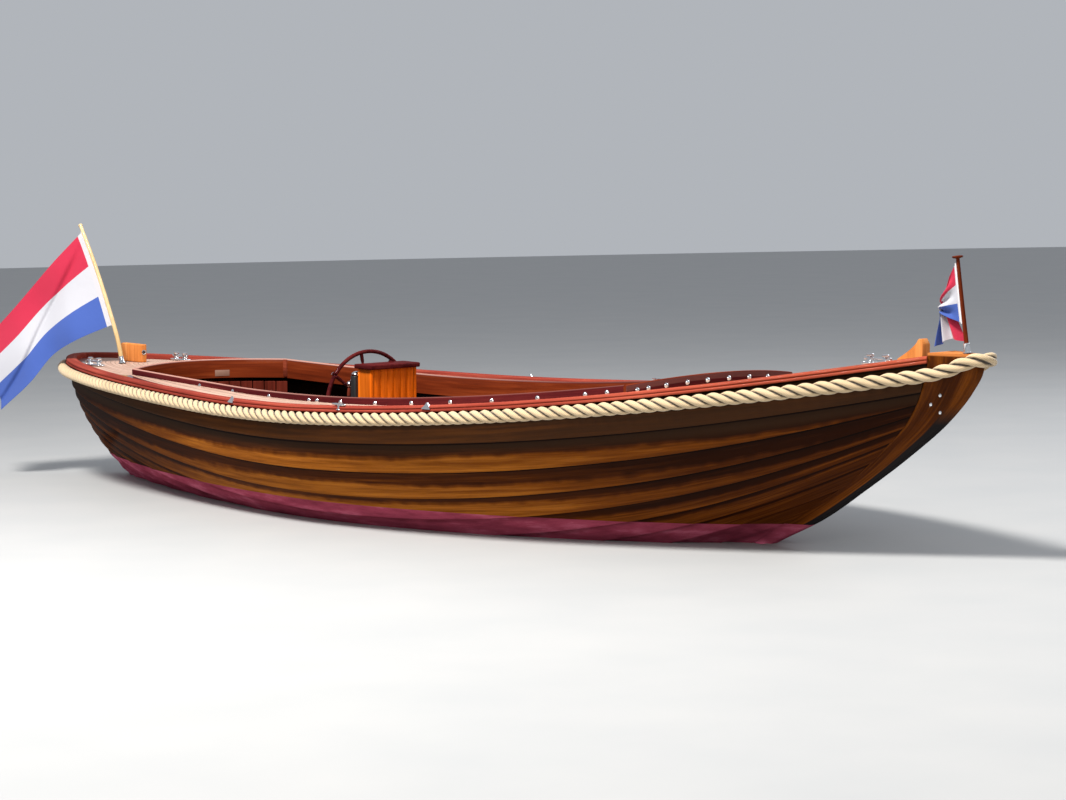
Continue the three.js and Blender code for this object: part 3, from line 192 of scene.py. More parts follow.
BOLLARD_POST = [(0.0165, 0.007), (0.0145, 0.011), (0.0125, 0.016), (0.0125, 0.034),
                (0.0150, 0.036), (0.0165, 0.039), (0.0160, 0.043), (0.0125, 0.0462),
                (0.0060, 0.0470)]
BOLLARD_BAR = [(0.0045, 0.0), (0.0078, 0.0025), (0.0085, 0.006), (0.0075, 0.011),
               (0.0075, 0.139), (0.0085, 0.144), (0.0078, 0.1475), (0.0045, 0.150)]
BOLLARD_SCREW = [(0.0048, 0.0), (0.0042, 0.0010), (0.0010, 0.0016)]
BUSH = [(0.0095, -0.001), (0.0150, 0.0), (0.0150, 0.0020), (0.0105, 0.0028), (0.0098, 0.001)]
SPOKE = [(0.0095, 0.030), (0.0100, 0.045), (0.0072, 0.052), (0.0082, 0.060), (0.0058, 0.085),
         (0.0066, 0.140), (0.0088, 0.205), (0.0066, 0.214), (0.0092, 0.224), (0.0095, 0.262)]
HUB = [(0.004, -0.048), (0.013, -0.046), (0.021, -0.042), (0.024, -0.036), (0.026, -0.030),
       (0.044, -0.026), (0.046, -0.020), (0.046, 0.020), (0.042, 0.0235), (0.020, 0.0245)]
HUB_BOLT = [(0.0045, -0.001), (0.0045, 0.001), (0.001, 0.0022)]
RIM_STUD = [(0.013, 0.0), (0.0125, 0.004), (0.007, 0.008), (0.001, 0.0095)]
DIAL_RIM = [(0.028, -0.001), (0.032, 0.0), (0.032, 0.004), (0.028, 0.008), (0.0255, 0.006)]
DIAL_GLASS = [(0.0262, 0.0), (0.0262, 0.0055), (0.02, 0.0062), (0.001, 0.0065)]
LEVER_CAP = [(0.0225, -0.011), (0.0235, -0.004), (0.019, 0.004), (0.009, 0.010),
             (0.001, 0.0115)]
LID_RING = [(0.017, 0.0), (0.0215, 0.0), (0.0215, 0.0016), (0.017, 0.0016)]
LID_DISC = [(0.016, 0.0), (0.016, 0.0012), (0.002, 0.0014)]
UP, FORWARD, AFT = (0, 0, 1), (1, 0, 0), (-1, 0, 0)
BITT = {"x": 3.128, "half": 0.024, "top": 0.967, "knee": 3.010, "slope": 0.024}

# Staffs and flags
ENSIGN_STAFF = [(-2.836, 0.500), (-2.870, 0.610), (-2.990, 0.850), (-3.130, 1.090),
                (-3.262, 1.285)]
STAFF_SIDE = -0.125
STAFF_TRUCK = [(0.009, 0.0), (0.0125, 0.002), (0.0130, 0.006), (0.011, 0.010), (0.005, 0.012)]
JACK_TRUCK = [(0.009, 0.0), (0.021, 0.003), (0.024, 0.007), (0.021, 0.011), (0.008, 0.012)]
JACKSTAFF = [(3.378, 0.910), (3.345, 1.120), (3.315, 1.322)]
FLY = (-0.68, -0.73)
ENSIGN_HOIST = {"head": 1.243, "foot": 0.717, "gap": 0.0215}
ENSIGN = [
    # head away from the staff, head down, foot away, foot down, wave
    (0.0, 0.0, 0.0, 0.0, 0.0), (0.152, 0.160, 0.190, 0.080, 0.020),
    (0.300, 0.325, 0.350, 0.175, -0.018), (0.425, 0.468, 0.475, 0.330, 0.024),
    (0.545, 0.590, 0.665, 0.500, -0.012),
]
JACK_HOIST = {"head": 1.288, "foot": 1.045, "gap": 0.0156}
JACK_FALL = [
    # at its head, a third down, two thirds down and at its foot: the fold's place abaft the
    # staff's head and under it, and the same for the fly's edge
    (-0.077, 0.140, 0.030, 0.322), (-0.090, 0.165, -0.045, 0.314),
    (-0.097, 0.186, -0.090, 0.335), (-0.090, 0.203, -0.128, 0.352),
]
ENSIGN_CREASE = {"size": 0.011, "down": 7.5, "out": 5.0}
ENSIGN_FOLD = {"size": 0.034, "from": 0.05, "lean": 0.82, "wide": 0.050}
JACK_LAYER = 0.014
JACK_PLEAT = 0.013
JACK_TURN = {"from": 0.38, "wide": 0.24}
CLOTH_THICKNESS = 0.0012

# Camera in the base line's frame: its bearing from the launch, distance, height, turn and dip,
# and its focal length in pixels of a picture 1066 pixels wide
CAMERA = {"bearing": 50.5, "distance": 14.32, "height": 1.846, "turn": -0.029, "dip": 0.095,
          "focal": 2839, "width": 1066, "sensor": 36.0}


def lerp(a, b, t):
    return a + (b - a) * t


def follow(rows):
    """Smooth curve through the rows of a table, as a function of its first column."""
    rows = sorted(rows)
    last = len(rows) - 1
    steps = [(b[1] - a[1]) / (b[0] - a[0]) for a, b in zip(rows, rows[1:])]
    slopes = [steps[0]]
    for before, after in zip(steps, steps[1:]):
        slopes.append(0 if before * after <= 0 else 2 * before * after / (before + after))
    slopes.append(steps[-1])

    def at(value):
        i = 0
        while i < last - 1 and value > rows[i + 1][0]:
            i += 1
        span = rows[i + 1][0] - rows[i][0]
        t = (value - rows[i][0]) / span
        if t < 0:
            return rows[i][1] + t * span * slopes[i]
        if t > 1:
            return rows[i + 1][1] + (t - 1) * span * slopes[i + 1]
        low, high = rows[i][1], rows[i + 1][1]
        return ((2 * t**3 - 3 * t**2 + 1) * low + (t**3 - 2 * t**2 + t) * span * slopes[i]
                + (3 * t**2 - 2 * t**3) * high + (t**3 - t**2) * span * slopes[i + 1])

    return at


stem_rabbet = follow(STEM_RABBET)
stem_face = follow(STEM_FACE)
post_rabbet = follow(POST_RABBET)
keel_rabbet = follow(KEEL_RABBET)
sheer_lift = follow(SHEER_LIFT)
coaming_side = follow(COAMING_SIDES)
coaming_rise = follow(COAMING_RISE)
deck_camber = follow(DECK_CAMBER)


def rope_height(x):
    """Height of the rope's centre at a place along the launch."""
    if x > LOWEST_AT:
        return LOWEST_HEIGHT + BOW_RISE * ((x - LOWEST_AT) / (ROPE_END - LOWEST_AT)) ** 2
    return LOWEST_HEIGHT + STERN_RISE * ((LOWEST_AT - x) / (ROPE_END + LOWEST_AT)) ** 2


def sheer_height(x):
    """Height of the line from which the planking's top, the rails and the decks are measured."""
    return rope_height(x) + max(sheer_lift(x), 0.0)


def rope_breadth(x):
    fore = x > WIDEST_AT
    inner, outer = BOW_POWERS if fore else STERN_POWERS
    reach = ROPE_END - WIDEST_AT if fore else ROPE_END + WIDEST_AT
    share = min(abs(x - WIDEST_AT) / reach, 0.99999)
    return ROPE_HALF_BREADTH * (1 - share**inner) ** outer


def sheer_breadth(x):
    slope = (rope_breadth(x + 0.001) - rope_breadth(x - 0.001)) / 0.002
    return rope_breadth(x) - ROPE_STANDOFF * math.hypot(1, slope)


SHEER_AFT = post_rabbet(sheer_height(-3.45) + PLANK_TOP)
SHEER_FORE = stem_rabbet(sheer_height(3.235) + PLANK_TOP)
SHEER_POST = sheer_height(SHEER_AFT) + PLANK_TOP
SHEER_STEM = sheer_height(SHEER_FORE) + PLANK_TOP
POST_FACE = SHEER_AFT - 0.018
LAPS = LAP_TABLE + [(SHEER_STEM, SHEER_POST, 1.0)]
stem_height_of = follow([(row[2], row[0]) for row in LAPS])
post_height_of = follow([(row[2], row[1]) for row in LAPS])


def mid_shape(height):
    return (1 - (1 - height) ** MID_FULLNESS[0]) ** MID_FULLNESS[1]


def girth_table(steps=400):
    """Shares of the girth amidships at even steps of the height."""
    heights = np.linspace(0, 1, steps + 1)
    breadths = GIRTH_BREADTH * mid_shape(heights)
    lengths = np.hypot(GIRTH_DEPTH / steps, np.diff(breadths))
    sums = np.concatenate([[0], np.cumsum(lengths)])
    return sums / sums[-1], heights


GIRTHS, GIRTH_HEIGHTS = girth_table()


def hull_point(s, girth):
    """Point of the port planking: s from the sternpost to the stem, girth from keel to sheer."""
    keel_x = lerp(*KEEL_ENDS, s)
    sheer_x = lerp(SHEER_AFT, SHEER_FORE, s)
    x = lerp(post_rabbet(post_height_of(girth)), stem_rabbet(stem_height_of(girth)), s)
    low = keel_rabbet(keel_x)
    high = sheer_height(sheer_x) + PLANK_TOP
    if s > 0.5:
        keel_end = keel_rabbet(KEEL_ENDS[1])
        at_end = (stem_height_of(girth) - keel_end) / (SHEER_STEM - keel_end)
    else:
        keel_end = keel_rabbet(KEEL_ENDS[0])
        at_end = (post_height_of(girth) - keel_end) / (SHEER_POST - keel_end)
    height = lerp(float(np.interp(girth, GIRTHS, GIRTH_HEIGHTS)), at_end,
                  (abs(s - 0.5) / 0.5) ** HEIGHTS_TO_END)
    if s > FULLEST_AT:
        share, flare = ((s - FULLEST_AT) / (1 - FULLEST_AT)) ** FINER_TO_BOW, BOW_FLARE
    else:
        share, flare = ((FULLEST_AT - s) / FULLEST_AT) ** FINER_TO_STERN, STERN_FLARE
    shape = lerp(mid_shape(height), height**flare, share)
    y = KEEL_HALF + 2 * SEAT + (sheer_breadth(sheer_x) - KEEL_HALF) * shape
    return np.array([x, y, low + (high - low) * height])


def station_share(k, count=STATIONS):
    """Places along the launch, closer together at both ends."""
    even = k / (count - 1)
    return lerp(even, 0.5 - 0.5 * math.cos(math.pi * even), CLOSER_TO_ENDS)


def unit(vector):
    return vector / np.linalg.norm(vector)


def along_hull(s, girth):
    step = 0.002
    return unit(hull_point(min(s + step, 1), girth) - hull_point(max(s - step, 0), girth))


def plank_frame(s, lower, upper):
    """Foot and head of a plank at a station, and its directions up its face and outwards."""
    foot = hull_point(s, lower)
    head = hull_point(s, upper)
    distance = np.linalg.norm(head - foot)
    across = (head - foot) / distance
    level = unit(np.cross(across, unit(along_hull(s, lower) + along_hull(s, upper))))
    if (level[1] < 0 and abs(level[1]) > abs(level[2])) or (
            abs(level[1]) <= abs(level[2]) and level[2] > 0):
        level = -level
    lean = math.asin((PLANK + SEAT) / distance)
    up = across * math.cos(lean) - level * math.sin(lean)
    out = level * math.cos(lean) + across * math.sin(lean)
    return foot, head, up, out, distance * math.cos(lean)


def beside_sheer(offset, count=STATIONS):
    """Plan of a line beside the sheer, moved out by an offset, with its place on the sheer."""
    rows = []
    for k in range(count):
        s = station_share(k, count)
        p = hull_point(s, 1)
        along = along_hull(s, 1)
        size = math.hypot(along[0], along[1])
        rows.append((p[0], p[1], -along[1] / size, along[0] / size))
    first = rows[0]
    turn = [(POST_FACE, SEAT / 2, -1.0, 0.0)]
    for t in (0.35, 0.7):
        out = unit(np.array([lerp(-1.0, first[2], t), lerp(0.0, first[3], t)]))
        turn.append((lerp(POST_FACE, first[0], t), lerp(SEAT / 2, first[1], t), out[0], out[1]))
    return [(x + offset * a, max(y + offset * b, SEAT / 2), x) for x, y, a, b in turn + rows]


def hull_half(x, z):
    """Half breadth of the planking's outer surface at a place and height."""
    heights = [keel_rabbet(x)]
    halves = [KEEL_HALF]
    for girth in np.linspace(0, 1, 41):
        aft = post_rabbet(post_height_of(girth))
        fore = stem_rabbet(stem_height_of(girth))
        s = (x - aft) / (fore - aft)
        if 0 <= s <= 1:
            p = hull_point(s, girth)
            heights.append(p[2])
            halves.append(p[1])
    return float(np.interp(z, heights, halves))


# Meshes


def distances(path):
    """Distance of each point of a path from its first, along the path."""
    steps = np.linalg.norm(np.diff(path, axis=0), axis=1)
    return np.concatenate([[0], np.cumsum(steps)])


def put(name, data):
    obj = bpy.data.objects.new(name, data)
    bpy.context.scene.collection.objects.link(obj)
    return obj


def finish_mesh(name, points, faces, corners, material, angle=35):
    mesh = bpy.data.meshes.new(name)
    mesh.from_pydata([tuple(float(c) for c in p) for p in points], [], faces)
    if corners is not None:
        layer = mesh.uv_layers.new(name="metres")
        layer.data.foreach_set("uv", np.asarray(corners, float).ravel())
    work = bmesh.new()
    work.from_mesh(mesh)
    bmesh.ops.recalc_face_normals(work, faces=work.faces)
    work.to_mesh(mesh)
    work.free()
    mesh.shade_smooth()
    mesh.set_sharp_from_angle(angle=math.radians(angle))
    mesh.materials.append(material)
    return mesh


def build(name, solids, material, angle=35, body="hull", replaces=()):
    """A piece of one or more solids that rides on a body, and the CAD nodes it stands for."""
    points, faces, corners = [], [], []
    for some_points, some_faces, some_corners in solids:
        first = len(points)
        points += list(some_points)
        faces += [tuple(first + i for i in face) for face in some_faces]
        corners += some_corners
    mesh = finish_mesh(name, points, faces, corners, material, angle)
    mesh.transform(AFLOAT)
    obj = put(name, mesh)
    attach(obj, body)
    if replaces:
        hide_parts(*replaces)
    return obj


def lofted(sections, ring=False):
    """Points, faces and UVs in metres of a closed solid through sections of equal size."""
    sections = np.asarray(sections, float)
    count, size = sections.shape[:2]
    middle = sections.mean(axis=1)
    steps = np.linalg.norm(np.roll(middle, -1, axis=0) - middle, axis=1)
    along = np.concatenate([[0], np.cumsum(steps)])
    edges = np.linalg.norm(np.roll(sections, -1, axis=1) - sections, axis=2).mean(axis=0)
    around = np.concatenate([[0], np.cumsum(edges)])
    faces = []
    corners = []
    for k in range(count if ring else count - 1):
        here = k * size
        after = (k + 1) % count * size
        for i in range(size):
            j = (i + 1) % size
            faces.append((here + i, after + i, after + j, here + j))
            corners += [(along[k], around[i]), (along[k + 1], around[i]),
                        (along[k + 1], around[i + 1]), (along[k], around[i + 1])]
    if not ring:
        for k in (0, count - 1):
            faces.append(tuple(range(k * size, (k + 1) * size)))
            corners += [(along[k] + 0.001 * i, around[i]) for i in range(size)]
    return sections.reshape(-1, 3), faces, corners


def sheet(front, back, places):
    """Points, faces and UVs of a closed plate between two grids, with a UV for each place."""
    count, size = front.shape[:2]
    points = np.concatenate([front.reshape(-1, 3), back.reshape(-1, 3)])
    uv = np.tile(places.reshape(-1, 2), (2, 1))
    below = count * size
    faces = []
    for k in range(count - 1):
        for a in range(k * size, (k + 1) * size - 1):
            b = a + size
            faces.append((a, b, b + 1, a + 1))
            faces.append((below + a, below + a + 1, below + b + 1, below + b))
    rim = list(range(size)) + [k * size + size - 1 for k in range(1, count)]
    rim += [(count - 1) * size + i for i in range(size - 2, -1, -1)]
    rim += [k * size for k in range(count - 2, 0, -1)]
    faces += [(a, b, below + b, below + a) for a, b in zip(rim, rim[1:] + rim[:1])]
    return points, faces, [tuple(uv[i]) for face in faces for i in face]


def slab(top, thickness):
    """A plate under a grid of points, with UVs along X and across from the first edge."""
    top = np.asarray(top, float)
    widths = np.linalg.norm(np.diff(top, axis=1), axis=2)
    across = np.concatenate([np.zeros((len(top), 1)), np.cumsum(widths, axis=1)], axis=1)
    places = np.stack([top[:, :, 0], across], axis=2)
    return sheet(top, top - np.array([0, 0, thickness]), places)


def mirrored(points):
    return np.asarray(points, float) * np.array([1, -1, 1])


# Materials


class Value:
    """A shader node's output, for sums and products with numbers and other outputs."""

    def __init__(self, look, socket):
        self.look = look
        self.socket = socket

    def maths(self, operation, other=0.0, clamp=False):
        return self.look.add("Math", {0: self, 1: other}, operation=operation, use_clamp=clamp)

    def __add__(self, other):
        return self.maths("ADD", other)

    def __sub__(self, other):
        return self.maths("SUBTRACT", other)

    def __mul__(self, other):
        return self.maths("MULTIPLY", other)

    def spread(self, low, high, at_low=0.0, at_high=1.0):
        """One value at low and another at high, even between them and held beyond them."""
        return self.look.add("MapRange", {0: self, 1: low, 2: high, 3: at_low, 4: at_high},
                             clamp=True)


class Look:
    """A material in the making."""

    def __init__(self, name):
        self.material = bpy.data.materials.new(name)
        self.material.use_nodes = True
        self.tree = self.material.node_tree

    def wire(self, node, inputs):
        """Sets inputs of a node. An input gets a number, a colour or a Value."""
        for key, value in inputs.items():
            if isinstance(value, Value):
                self.tree.links.new(value.socket, node.inputs[key])
            else:
                node.inputs[key].default_value = value

    def node(self, kind, inputs, **settings):
        node = self.tree.nodes.new("ShaderNode" + kind)
        for key, value in settings.items():
            setattr(node, key, value)
        self.wire(node, inputs)
        return node

    def add(self, kind, inputs, output=0, **settings):
        return Value(self, self.node(kind, inputs, **settings).outputs[output])

    def place(self, output="Object"):
        return self.add("TexCoord", {}, output)

    def parts(self, vector):
        node = self.node("SeparateXYZ", {0: vector})
        return [Value(self, output) for output in node.outputs]

    def ramp(self, value, tones, middle=0.5):
        """Colour by a value, from the first tone at 0 to the last at 1."""
        places = (0.0, 0.35, 0.65, 1.0) if len(tones) == 4 else (0.0, middle, 1.0)
        node = self.node("ValToRGB", {"Fac": value})
        elements = node.color_ramp.elements
        while len(elements) < len(tones):
            elements.new(0.5)
        for element, place, colour in zip(elements, places, tones):
            element.position = place
            element.color = (*colour, 1.0)
        return Value(self, node.outputs["Color"])

    def mix(self, share, a, b):
        a, b = (c if isinstance(c, Value) else (*c, 1.0) for c in (a, b))
        return self.add("Mix", {0: share, 6: a, 7: b}, 2, data_type="RGBA")

    def stretched(self, vector, scale, shift=(0, 0, 0)):
        return self.add("Mapping", {"Vector": vector, "Scale": scale, "Location": shift})

    def noise(self, vector, scale=1.0, detail=2.0, rough=0.5, twist=0.0):
        return self.add("TexNoise", {"Vector": vector, "Scale": scale, "Detail": detail,
                                     "Roughness": rough, "Distortion": twist})

    def bump(self, height, distance, strength=1.0):
        return self.add("Bump", {"Height": height, "Distance": distance, "Strength": strength})

    def finish(self, inputs):
        self.wire(self.tree.nodes["Principled BSDF"], inputs)
        return self.material

    def grain(self, vector, scale=1.0):
        """Grain along the first axis of a vector in metres: tone, figure and pores, each 0..1."""
        wide = self.noise(self.stretched(vector, (0.9 * scale, 7 * scale, 7 * scale)),
                          detail=3.0)
        bent = self.noise(self.stretched(vector, (2.2 * scale, 60 * scale, 60 * scale),
                                         (0, 3, 0)), detail=5.0, rough=0.62, twist=0.6)
        pores = self.noise(self.stretched(vector, (28 * scale, 900 * scale, 900 * scale)),
                           rough=0.7)
        return wide, bent, pores


VARNISH = {"Coat Roughness": 0.06, "Specular IOR Level": 0.0}


def varnished(name, tones, source="UV", axes=(1, 1, 1), coat=0.07, extra=None, order=None):
    """Varnished wood. extra may change the colour, and order swaps the grain's axes."""
    look = Look(name)
    vector = look.stretched(look.place(source), axes)
    if order:
        parts = look.parts(vector)
        vector = look.add("CombineXYZ", {i: parts[j] for i, j in enumerate(order)})
    wide, bent, pores = look.grain(vector)
    figure = (wide * 0.55 + bent * 0.45).spread(0.3, 0.7)
    colour = look.mix(pores.spread(0.55, 0.75) * 0.5, look.ramp(figure, tones), tones[0])
    if extra:
        colour = extra(look, colour, figure)
    waves = look.noise(look.place(), scale=3.2)
    return look.finish({"Base Color": colour, "Roughness": 0.40, "Coat Weight": coat,
                        "Normal": look.bump(waves * 0.5 + bent * 0.01, 0.004), **VARNISH})


# Tones of each material, from its darkest to its lightest
HULL_TONES = ((0.020, 0.005, 0.0015), (0.062, 0.015, 0.0025), (0.170, 0.046, 0.0050),
              (0.40, 0.132, 0.0150))
MAROON_TONES = ((0.022, 0.003, 0.004), (0.068, 0.008, 0.009), (0.125, 0.018, 0.016))
RAIL_TONES = ((0.085, 0.012, 0.009), (0.235, 0.036, 0.024), (0.43, 0.095, 0.058))
ORANGE_TONES = ((0.20, 0.032, 0.002), (0.42, 0.085, 0.005), (0.60, 0.150, 0.013))
SLAT_TONES = ((0.045, 0.008, 0.005), (0.105, 0.018, 0.011), (0.170, 0.034, 0.018))
SEAT_TONES = ((0.045, 0.009, 0.006), (0.20, 0.040, 0.020), (0.36, 0.085, 0.036))
INNER_TONES = ((0.045, 0.007, 0.003), (0.125, 0.020, 0.006), (0.23, 0.045, 0.012))
POST_TONES = ((0.022, 0.006, 0.003), (0.060, 0.014, 0.006), (0.125, 0.030, 0.010))
CONSOLE_TONES = ((0.32, 0.050, 0.002), (0.60, 0.105, 0.004), (0.80, 0.175, 0.010))
CHOCK_TONES = ((0.30, 0.085, 0.020), (0.62, 0.215, 0.055), (0.80, 0.36, 0.12))
ASH_TONES = ((0.42, 0.27, 0.11), (0.58, 0.42, 0.22), (0.70, 0.56, 0.34))
TEAK_TONES = ((0.30, 0.17, 0.12), (0.47, 0.30, 0.23), (0.60, 0.43, 0.34))
PAINT_TONES = ((0.17, 0.026, 0.045), (0.34, 0.056, 0.096), (0.56, 0.140, 0.215))
ROPE_TONES = ((0.27, 0.17, 0.085), (0.50, 0.365, 0.205), (0.66, 0.51, 0.32))
TEAK_PORES = (0.22, 0.12, 0.08)
TEAK_SEAM = (0.012, 0.011, 0.010)
# Colour of the painted shade in the rope's grooves
ROPE_GROOVE_SHADE = (0.055, 0.035, 0.020)
# Grey-brown of the painted shade under the rope
ROPE_SHADE_GREY = (0.050, 0.027, 0.013)
# Colour of the painted shade under each lap
LAP_SHADOW_COLOUR = (0.006, 0.003, 0.002)
# Near-black of the painted shade on the stem's leading edge
STEM_EDGE_SHADE = (0.012, 0.010, 0.010)
STEM_CROWN = (0.50, 0.17, 0.045)
# Painted highlight on the coaming's rounded top
COAMING_TOP_HIGHLIGHT = (0.50, 0.27, 0.22)
# Painted highlight on the rails towards the bow
RAIL_BOW_HIGHLIGHT = (0.46, 0.110, 0.045)
CLOTH_HEM = (0.45, 0.44, 0.47)
BOOT_TOP = {"slope": -0.0045, "height": 0.1125}
LAP_SHADE = {"wide": 0.012, "soft": 0.046}


def over_bottom_paint(look, colour, _figure):
    """Antifouling below its edge, which climbs a little to the bow."""
    return look.mix(under_boot_top(look), colour, antifouling_colour(look))


def under_boot_top(look):
    x, _, z = look.parts(look.place())
    return (x * BOOT_TOP["slope"] + BOOT_TOP["height"] - z).spread(-0.0008, 0.0008)


def antifouling_colour(look):
    patches = look.noise(look.stretched(look.place(), (2.5, 6, 14)), detail=6.0, rough=0.65)
    return look.ramp(patches.spread(0.3, 0.7), PAINT_TONES, 0.55)


def planking():
    """Varnished planks above the boot top, antifouling below it. UV: along, and planks up."""
    look = Look("planking")
    plank = look.place("UV")
    wide, bent, pores = look.grain(plank)
    x, _, z = look.parts(look.place())
    up = look.parts(plank)[1]
    down = up.maths("ROUND") - up
    fine = look.noise(look.stretched(plank, (1.1, 34, 34), (5, 1, 0)), detail=4.0, rough=0.6)
    broad = look.noise(look.stretched(plank, (0.8, 9, 9), (2, 7, 0)))
    teeth = look.noise(look.stretched(plank, (13, 4, 4), (1, 9, 0)), detail=1.0)
    figure = (wide * 0.20 + bent * 0.42 + fine * 0.38).spread(0.30, 0.66) * 0.62
    # Painted shadow under each lap: the plank stays darker for some 34 to 58 mm below the plank
    # above, with a ragged edge, and lighter below that
    lap_shadow_edge = down + (broad - 0.5) * 0.060 + (teeth - 0.5) * 0.024
    lap_shadow_edge = lap_shadow_edge - up.spread(STRAKES - 2.5, STRAKES - 2.4) * 0.025
    under_rope = up - broad * 0.05
    bow = x.spread(1.1, 3.0) * 0.34
    stern = x.spread(-0.7, -2.4) * 0.44
    # Painted shade under the rope: the top plank is darker
    dull = under_rope.spread(STRAKES - 1.095, STRAKES - 1.055) * 0.34
    fore_foot = x.spread(1.4, 2.6) * z.spread(0.62, 0.30) * 0.28
    for share in (bow, stern, dull, fore_foot):
        figure = figure - share
    figure = figure.maths("ADD", lap_shadow_edge.spread(0.034, 0.058) * 0.46, clamp=True)
    colour = look.ramp(figure, HULL_TONES)
    # Painted shade under the rope also turns the top plank greyer
    rope_shade_share = under_rope.spread(STRAKES - 1.10, STRAKES - 1.05) * 0.5
    colour = look.mix(rope_shade_share, colour, ROPE_SHADE_GREY)
    colour = look.mix(pores.spread(0.55, 0.75) * 0.35, colour, HULL_TONES[0])
    below = under_boot_top(look)
    colour = over_bottom_paint(look, colour, figure)
    # Painted shade in the corner under the plank above
    near = down.spread(LAP_SHADE["wide"], LAP_SHADE["wide"] * 0.7) * 0.55
    soft = down.spread(LAP_SHADE["soft"], LAP_SHADE["wide"]) * 0.40
    colour = look.mix(near.maths("ADD", soft, clamp=True), colour, LAP_SHADOW_COLOUR)
    waves = look.noise(look.stretched(look.place(), (1.6, 3, 7)), detail=3.0)
    return look.finish({"Base Color": colour, "Roughness": below.spread(0, 1, 0.34, 0.55),
                        "Coat Weight": below.spread(0, 1, 0.06, 0.01),
                        "Normal": look.bump(waves + bent * 0.02, 0.006), **VARNISH})


def metal(name, colour, roughness, wear=0.0):
    look = Look(name)
    cloud = look.noise(look.place(), scale=18.0, detail=4.0)
    dull = tuple(c * (0.82 - 0.3 * wear) for c in colour)
    fine = look.noise(look.place(), scale=260.0)
    return look.finish({
        "Base Color": look.mix(cloud.spread(0.35, 0.7), dull, colour), "Metallic": 1.0,
        "Roughness": cloud.spread(0.3, 0.7, roughness * 0.8, roughness * 1.35 + 0.1 * wear),
        "Normal": look.bump(fine, 0.00015, 0.4)})


def painted(name, colour, roughness, speck=0.25):
    look = Look(name)
    cloud = look.noise(look.place(), scale=9.0, detail=5.0, rough=0.6)
    shade = tuple(c * (1 - speck) for c in colour)
    fine = look.noise(look.place(), scale=420.0)
    return look.finish({"Base Color": look.mix(cloud.spread(0.35, 0.68), shade, colour),
                        "Roughness": roughness, "Normal": look.bump(fine, 0.0003, 0.5)})


def bottom_paint():
    look = Look("antifouling")
    fine = look.noise(look.place(), scale=140.0, detail=3.0)
    return look.finish({"Base Color": antifouling_colour(look), "Roughness": 0.6,
                        "Normal": look.bump(fine, 0.0006, 0.5)})


def teak(name, plank=0.045, seam=0.0035, board=0.0):
    """Bare teak planks with dark seams, inside a varnished edge board of a given width.

    UV: along, and across from the outer edge.
    """
    look = Look(name)
    place = look.place("UV")
    across = look.parts(place)[1]
    planks = across.maths("DIVIDE", plank)
    number = planks.maths("FLOOR")
    shift = look.add("CombineXYZ", {0: number * 1.7, 1: number * 0.3})
    vector = look.add("VectorMath", {0: place, 1: shift}, operation="ADD")
    wide, bent, pores = look.grain(vector, 1.2)
    figure = (wide * 0.5 + bent * 0.5).spread(0.3, 0.7)
    colour = look.mix(pores.spread(0.5, 0.8) * 0.5, look.ramp(figure, TEAK_TONES), TEAK_PORES)
    black = (planks.maths("FRACT") * plank).maths("LESS_THAN", seam)
    colour = look.mix(black, colour, TEAK_SEAM)
    inputs = {"Roughness": 0.62}
    if board:
        edge = across.maths("LESS_THAN", board)
        colour = look.mix(edge, colour, look.ramp(figure, MAROON_TONES))
        inputs = {"Roughness": edge.spread(0, 1, 0.62, 0.3), "Coat Weight": edge * 0.8,
                  "Coat Roughness": 0.06}
    return look.finish({"Base Color": colour,
                        "Normal": look.bump(bent * 0.15 - black, 0.0012, 0.8), **inputs})


def laid_rope():
    """Fibres of a strand: UV runs along the strand and round it."""
    look = Look("laid_rope")
    place = look.place("UV")
    along, around, _ = look.parts(place)
    ridge = (around * 420.0 + along * 230.0).maths("SINE").maths("ABSOLUTE")
    fuzz = look.noise(look.stretched(place, (160, 900, 1)), detail=4.0, rough=0.7)
    patch = look.noise(look.place(), scale=3.5, detail=4.0)
    figure = (ridge * 0.35 + (fuzz * 0.35 + patch * 0.3)).spread(0.25, 0.75)
    depth = look.add("Attribute", {}, "Fac", attribute_name="depth")
    colour = look.ramp(figure, ROPE_TONES, 0.45)
    # Painted shade in the grooves between the strands, darker deeper in
    colour = look.mix(depth.spread(0.35, 0.85), colour, ROPE_GROOVE_SHADE)
    return look.finish({"Base Color": colour, "Roughness": 0.88, "Sheen Weight": 0.25,
                        "Sheen Roughness": 0.5,
                        "Normal": look.bump(ridge * 0.7 + fuzz * 0.6, 0.0010, 0.9)})


def stem_edges(look, colour, figure):
    """Pale top, leading edge low down in near-black painted shade, and antifouling. UV: share
    forward, height.
    """
    forward, height, _ = look.parts(look.place("UV"))
    # Painted shade: the leading edge low down is near-black
    colour = look.mix(forward.spread(0.70, 0.76) * height.spread(0.70, 0.61), colour, STEM_EDGE_SHADE)
    top = height.spread(STEM_TOP - 0.014, STEM_TOP - 0.008)
    return over_bottom_paint(look, look.mix(top, colour, STEM_CROWN), figure)


def coaming_faces(look, colour, figure):
    """Dark outer face, rounded top with a painted highlight that is stronger aft, and orange-brown
    inner face of a coaming board.
    """
    above = look.parts(look.place("UV"))[1] - COAMING_DEPTH
    x = look.parts(look.place())[0]
    inner = look.ramp(figure, INNER_TONES)
    colour = look.mix(above.spread(0.0205, 0.0225), colour, inner)
    top = above.spread(-0.0055, -0.0025) * above.spread(0.0210, 0.0180)
    # Painted highlight along the rounded top, stronger aft
    return look.mix(top * x.spread(-1.5, 0.2, 0.8, 0.12), colour, COAMING_TOP_HIGHLIGHT)


def rail_highlight_to_bow(look, colour, _figure):
    """Rails with a painted highlight that grows brighter to the bow."""
    x = look.parts(look.place())[0]
    # Painted highlight, stronger towards the bow
    return look.mix(x.spread(1.0, 3.2) * 0.30, colour, RAIL_BOW_HIGHLIGHT)


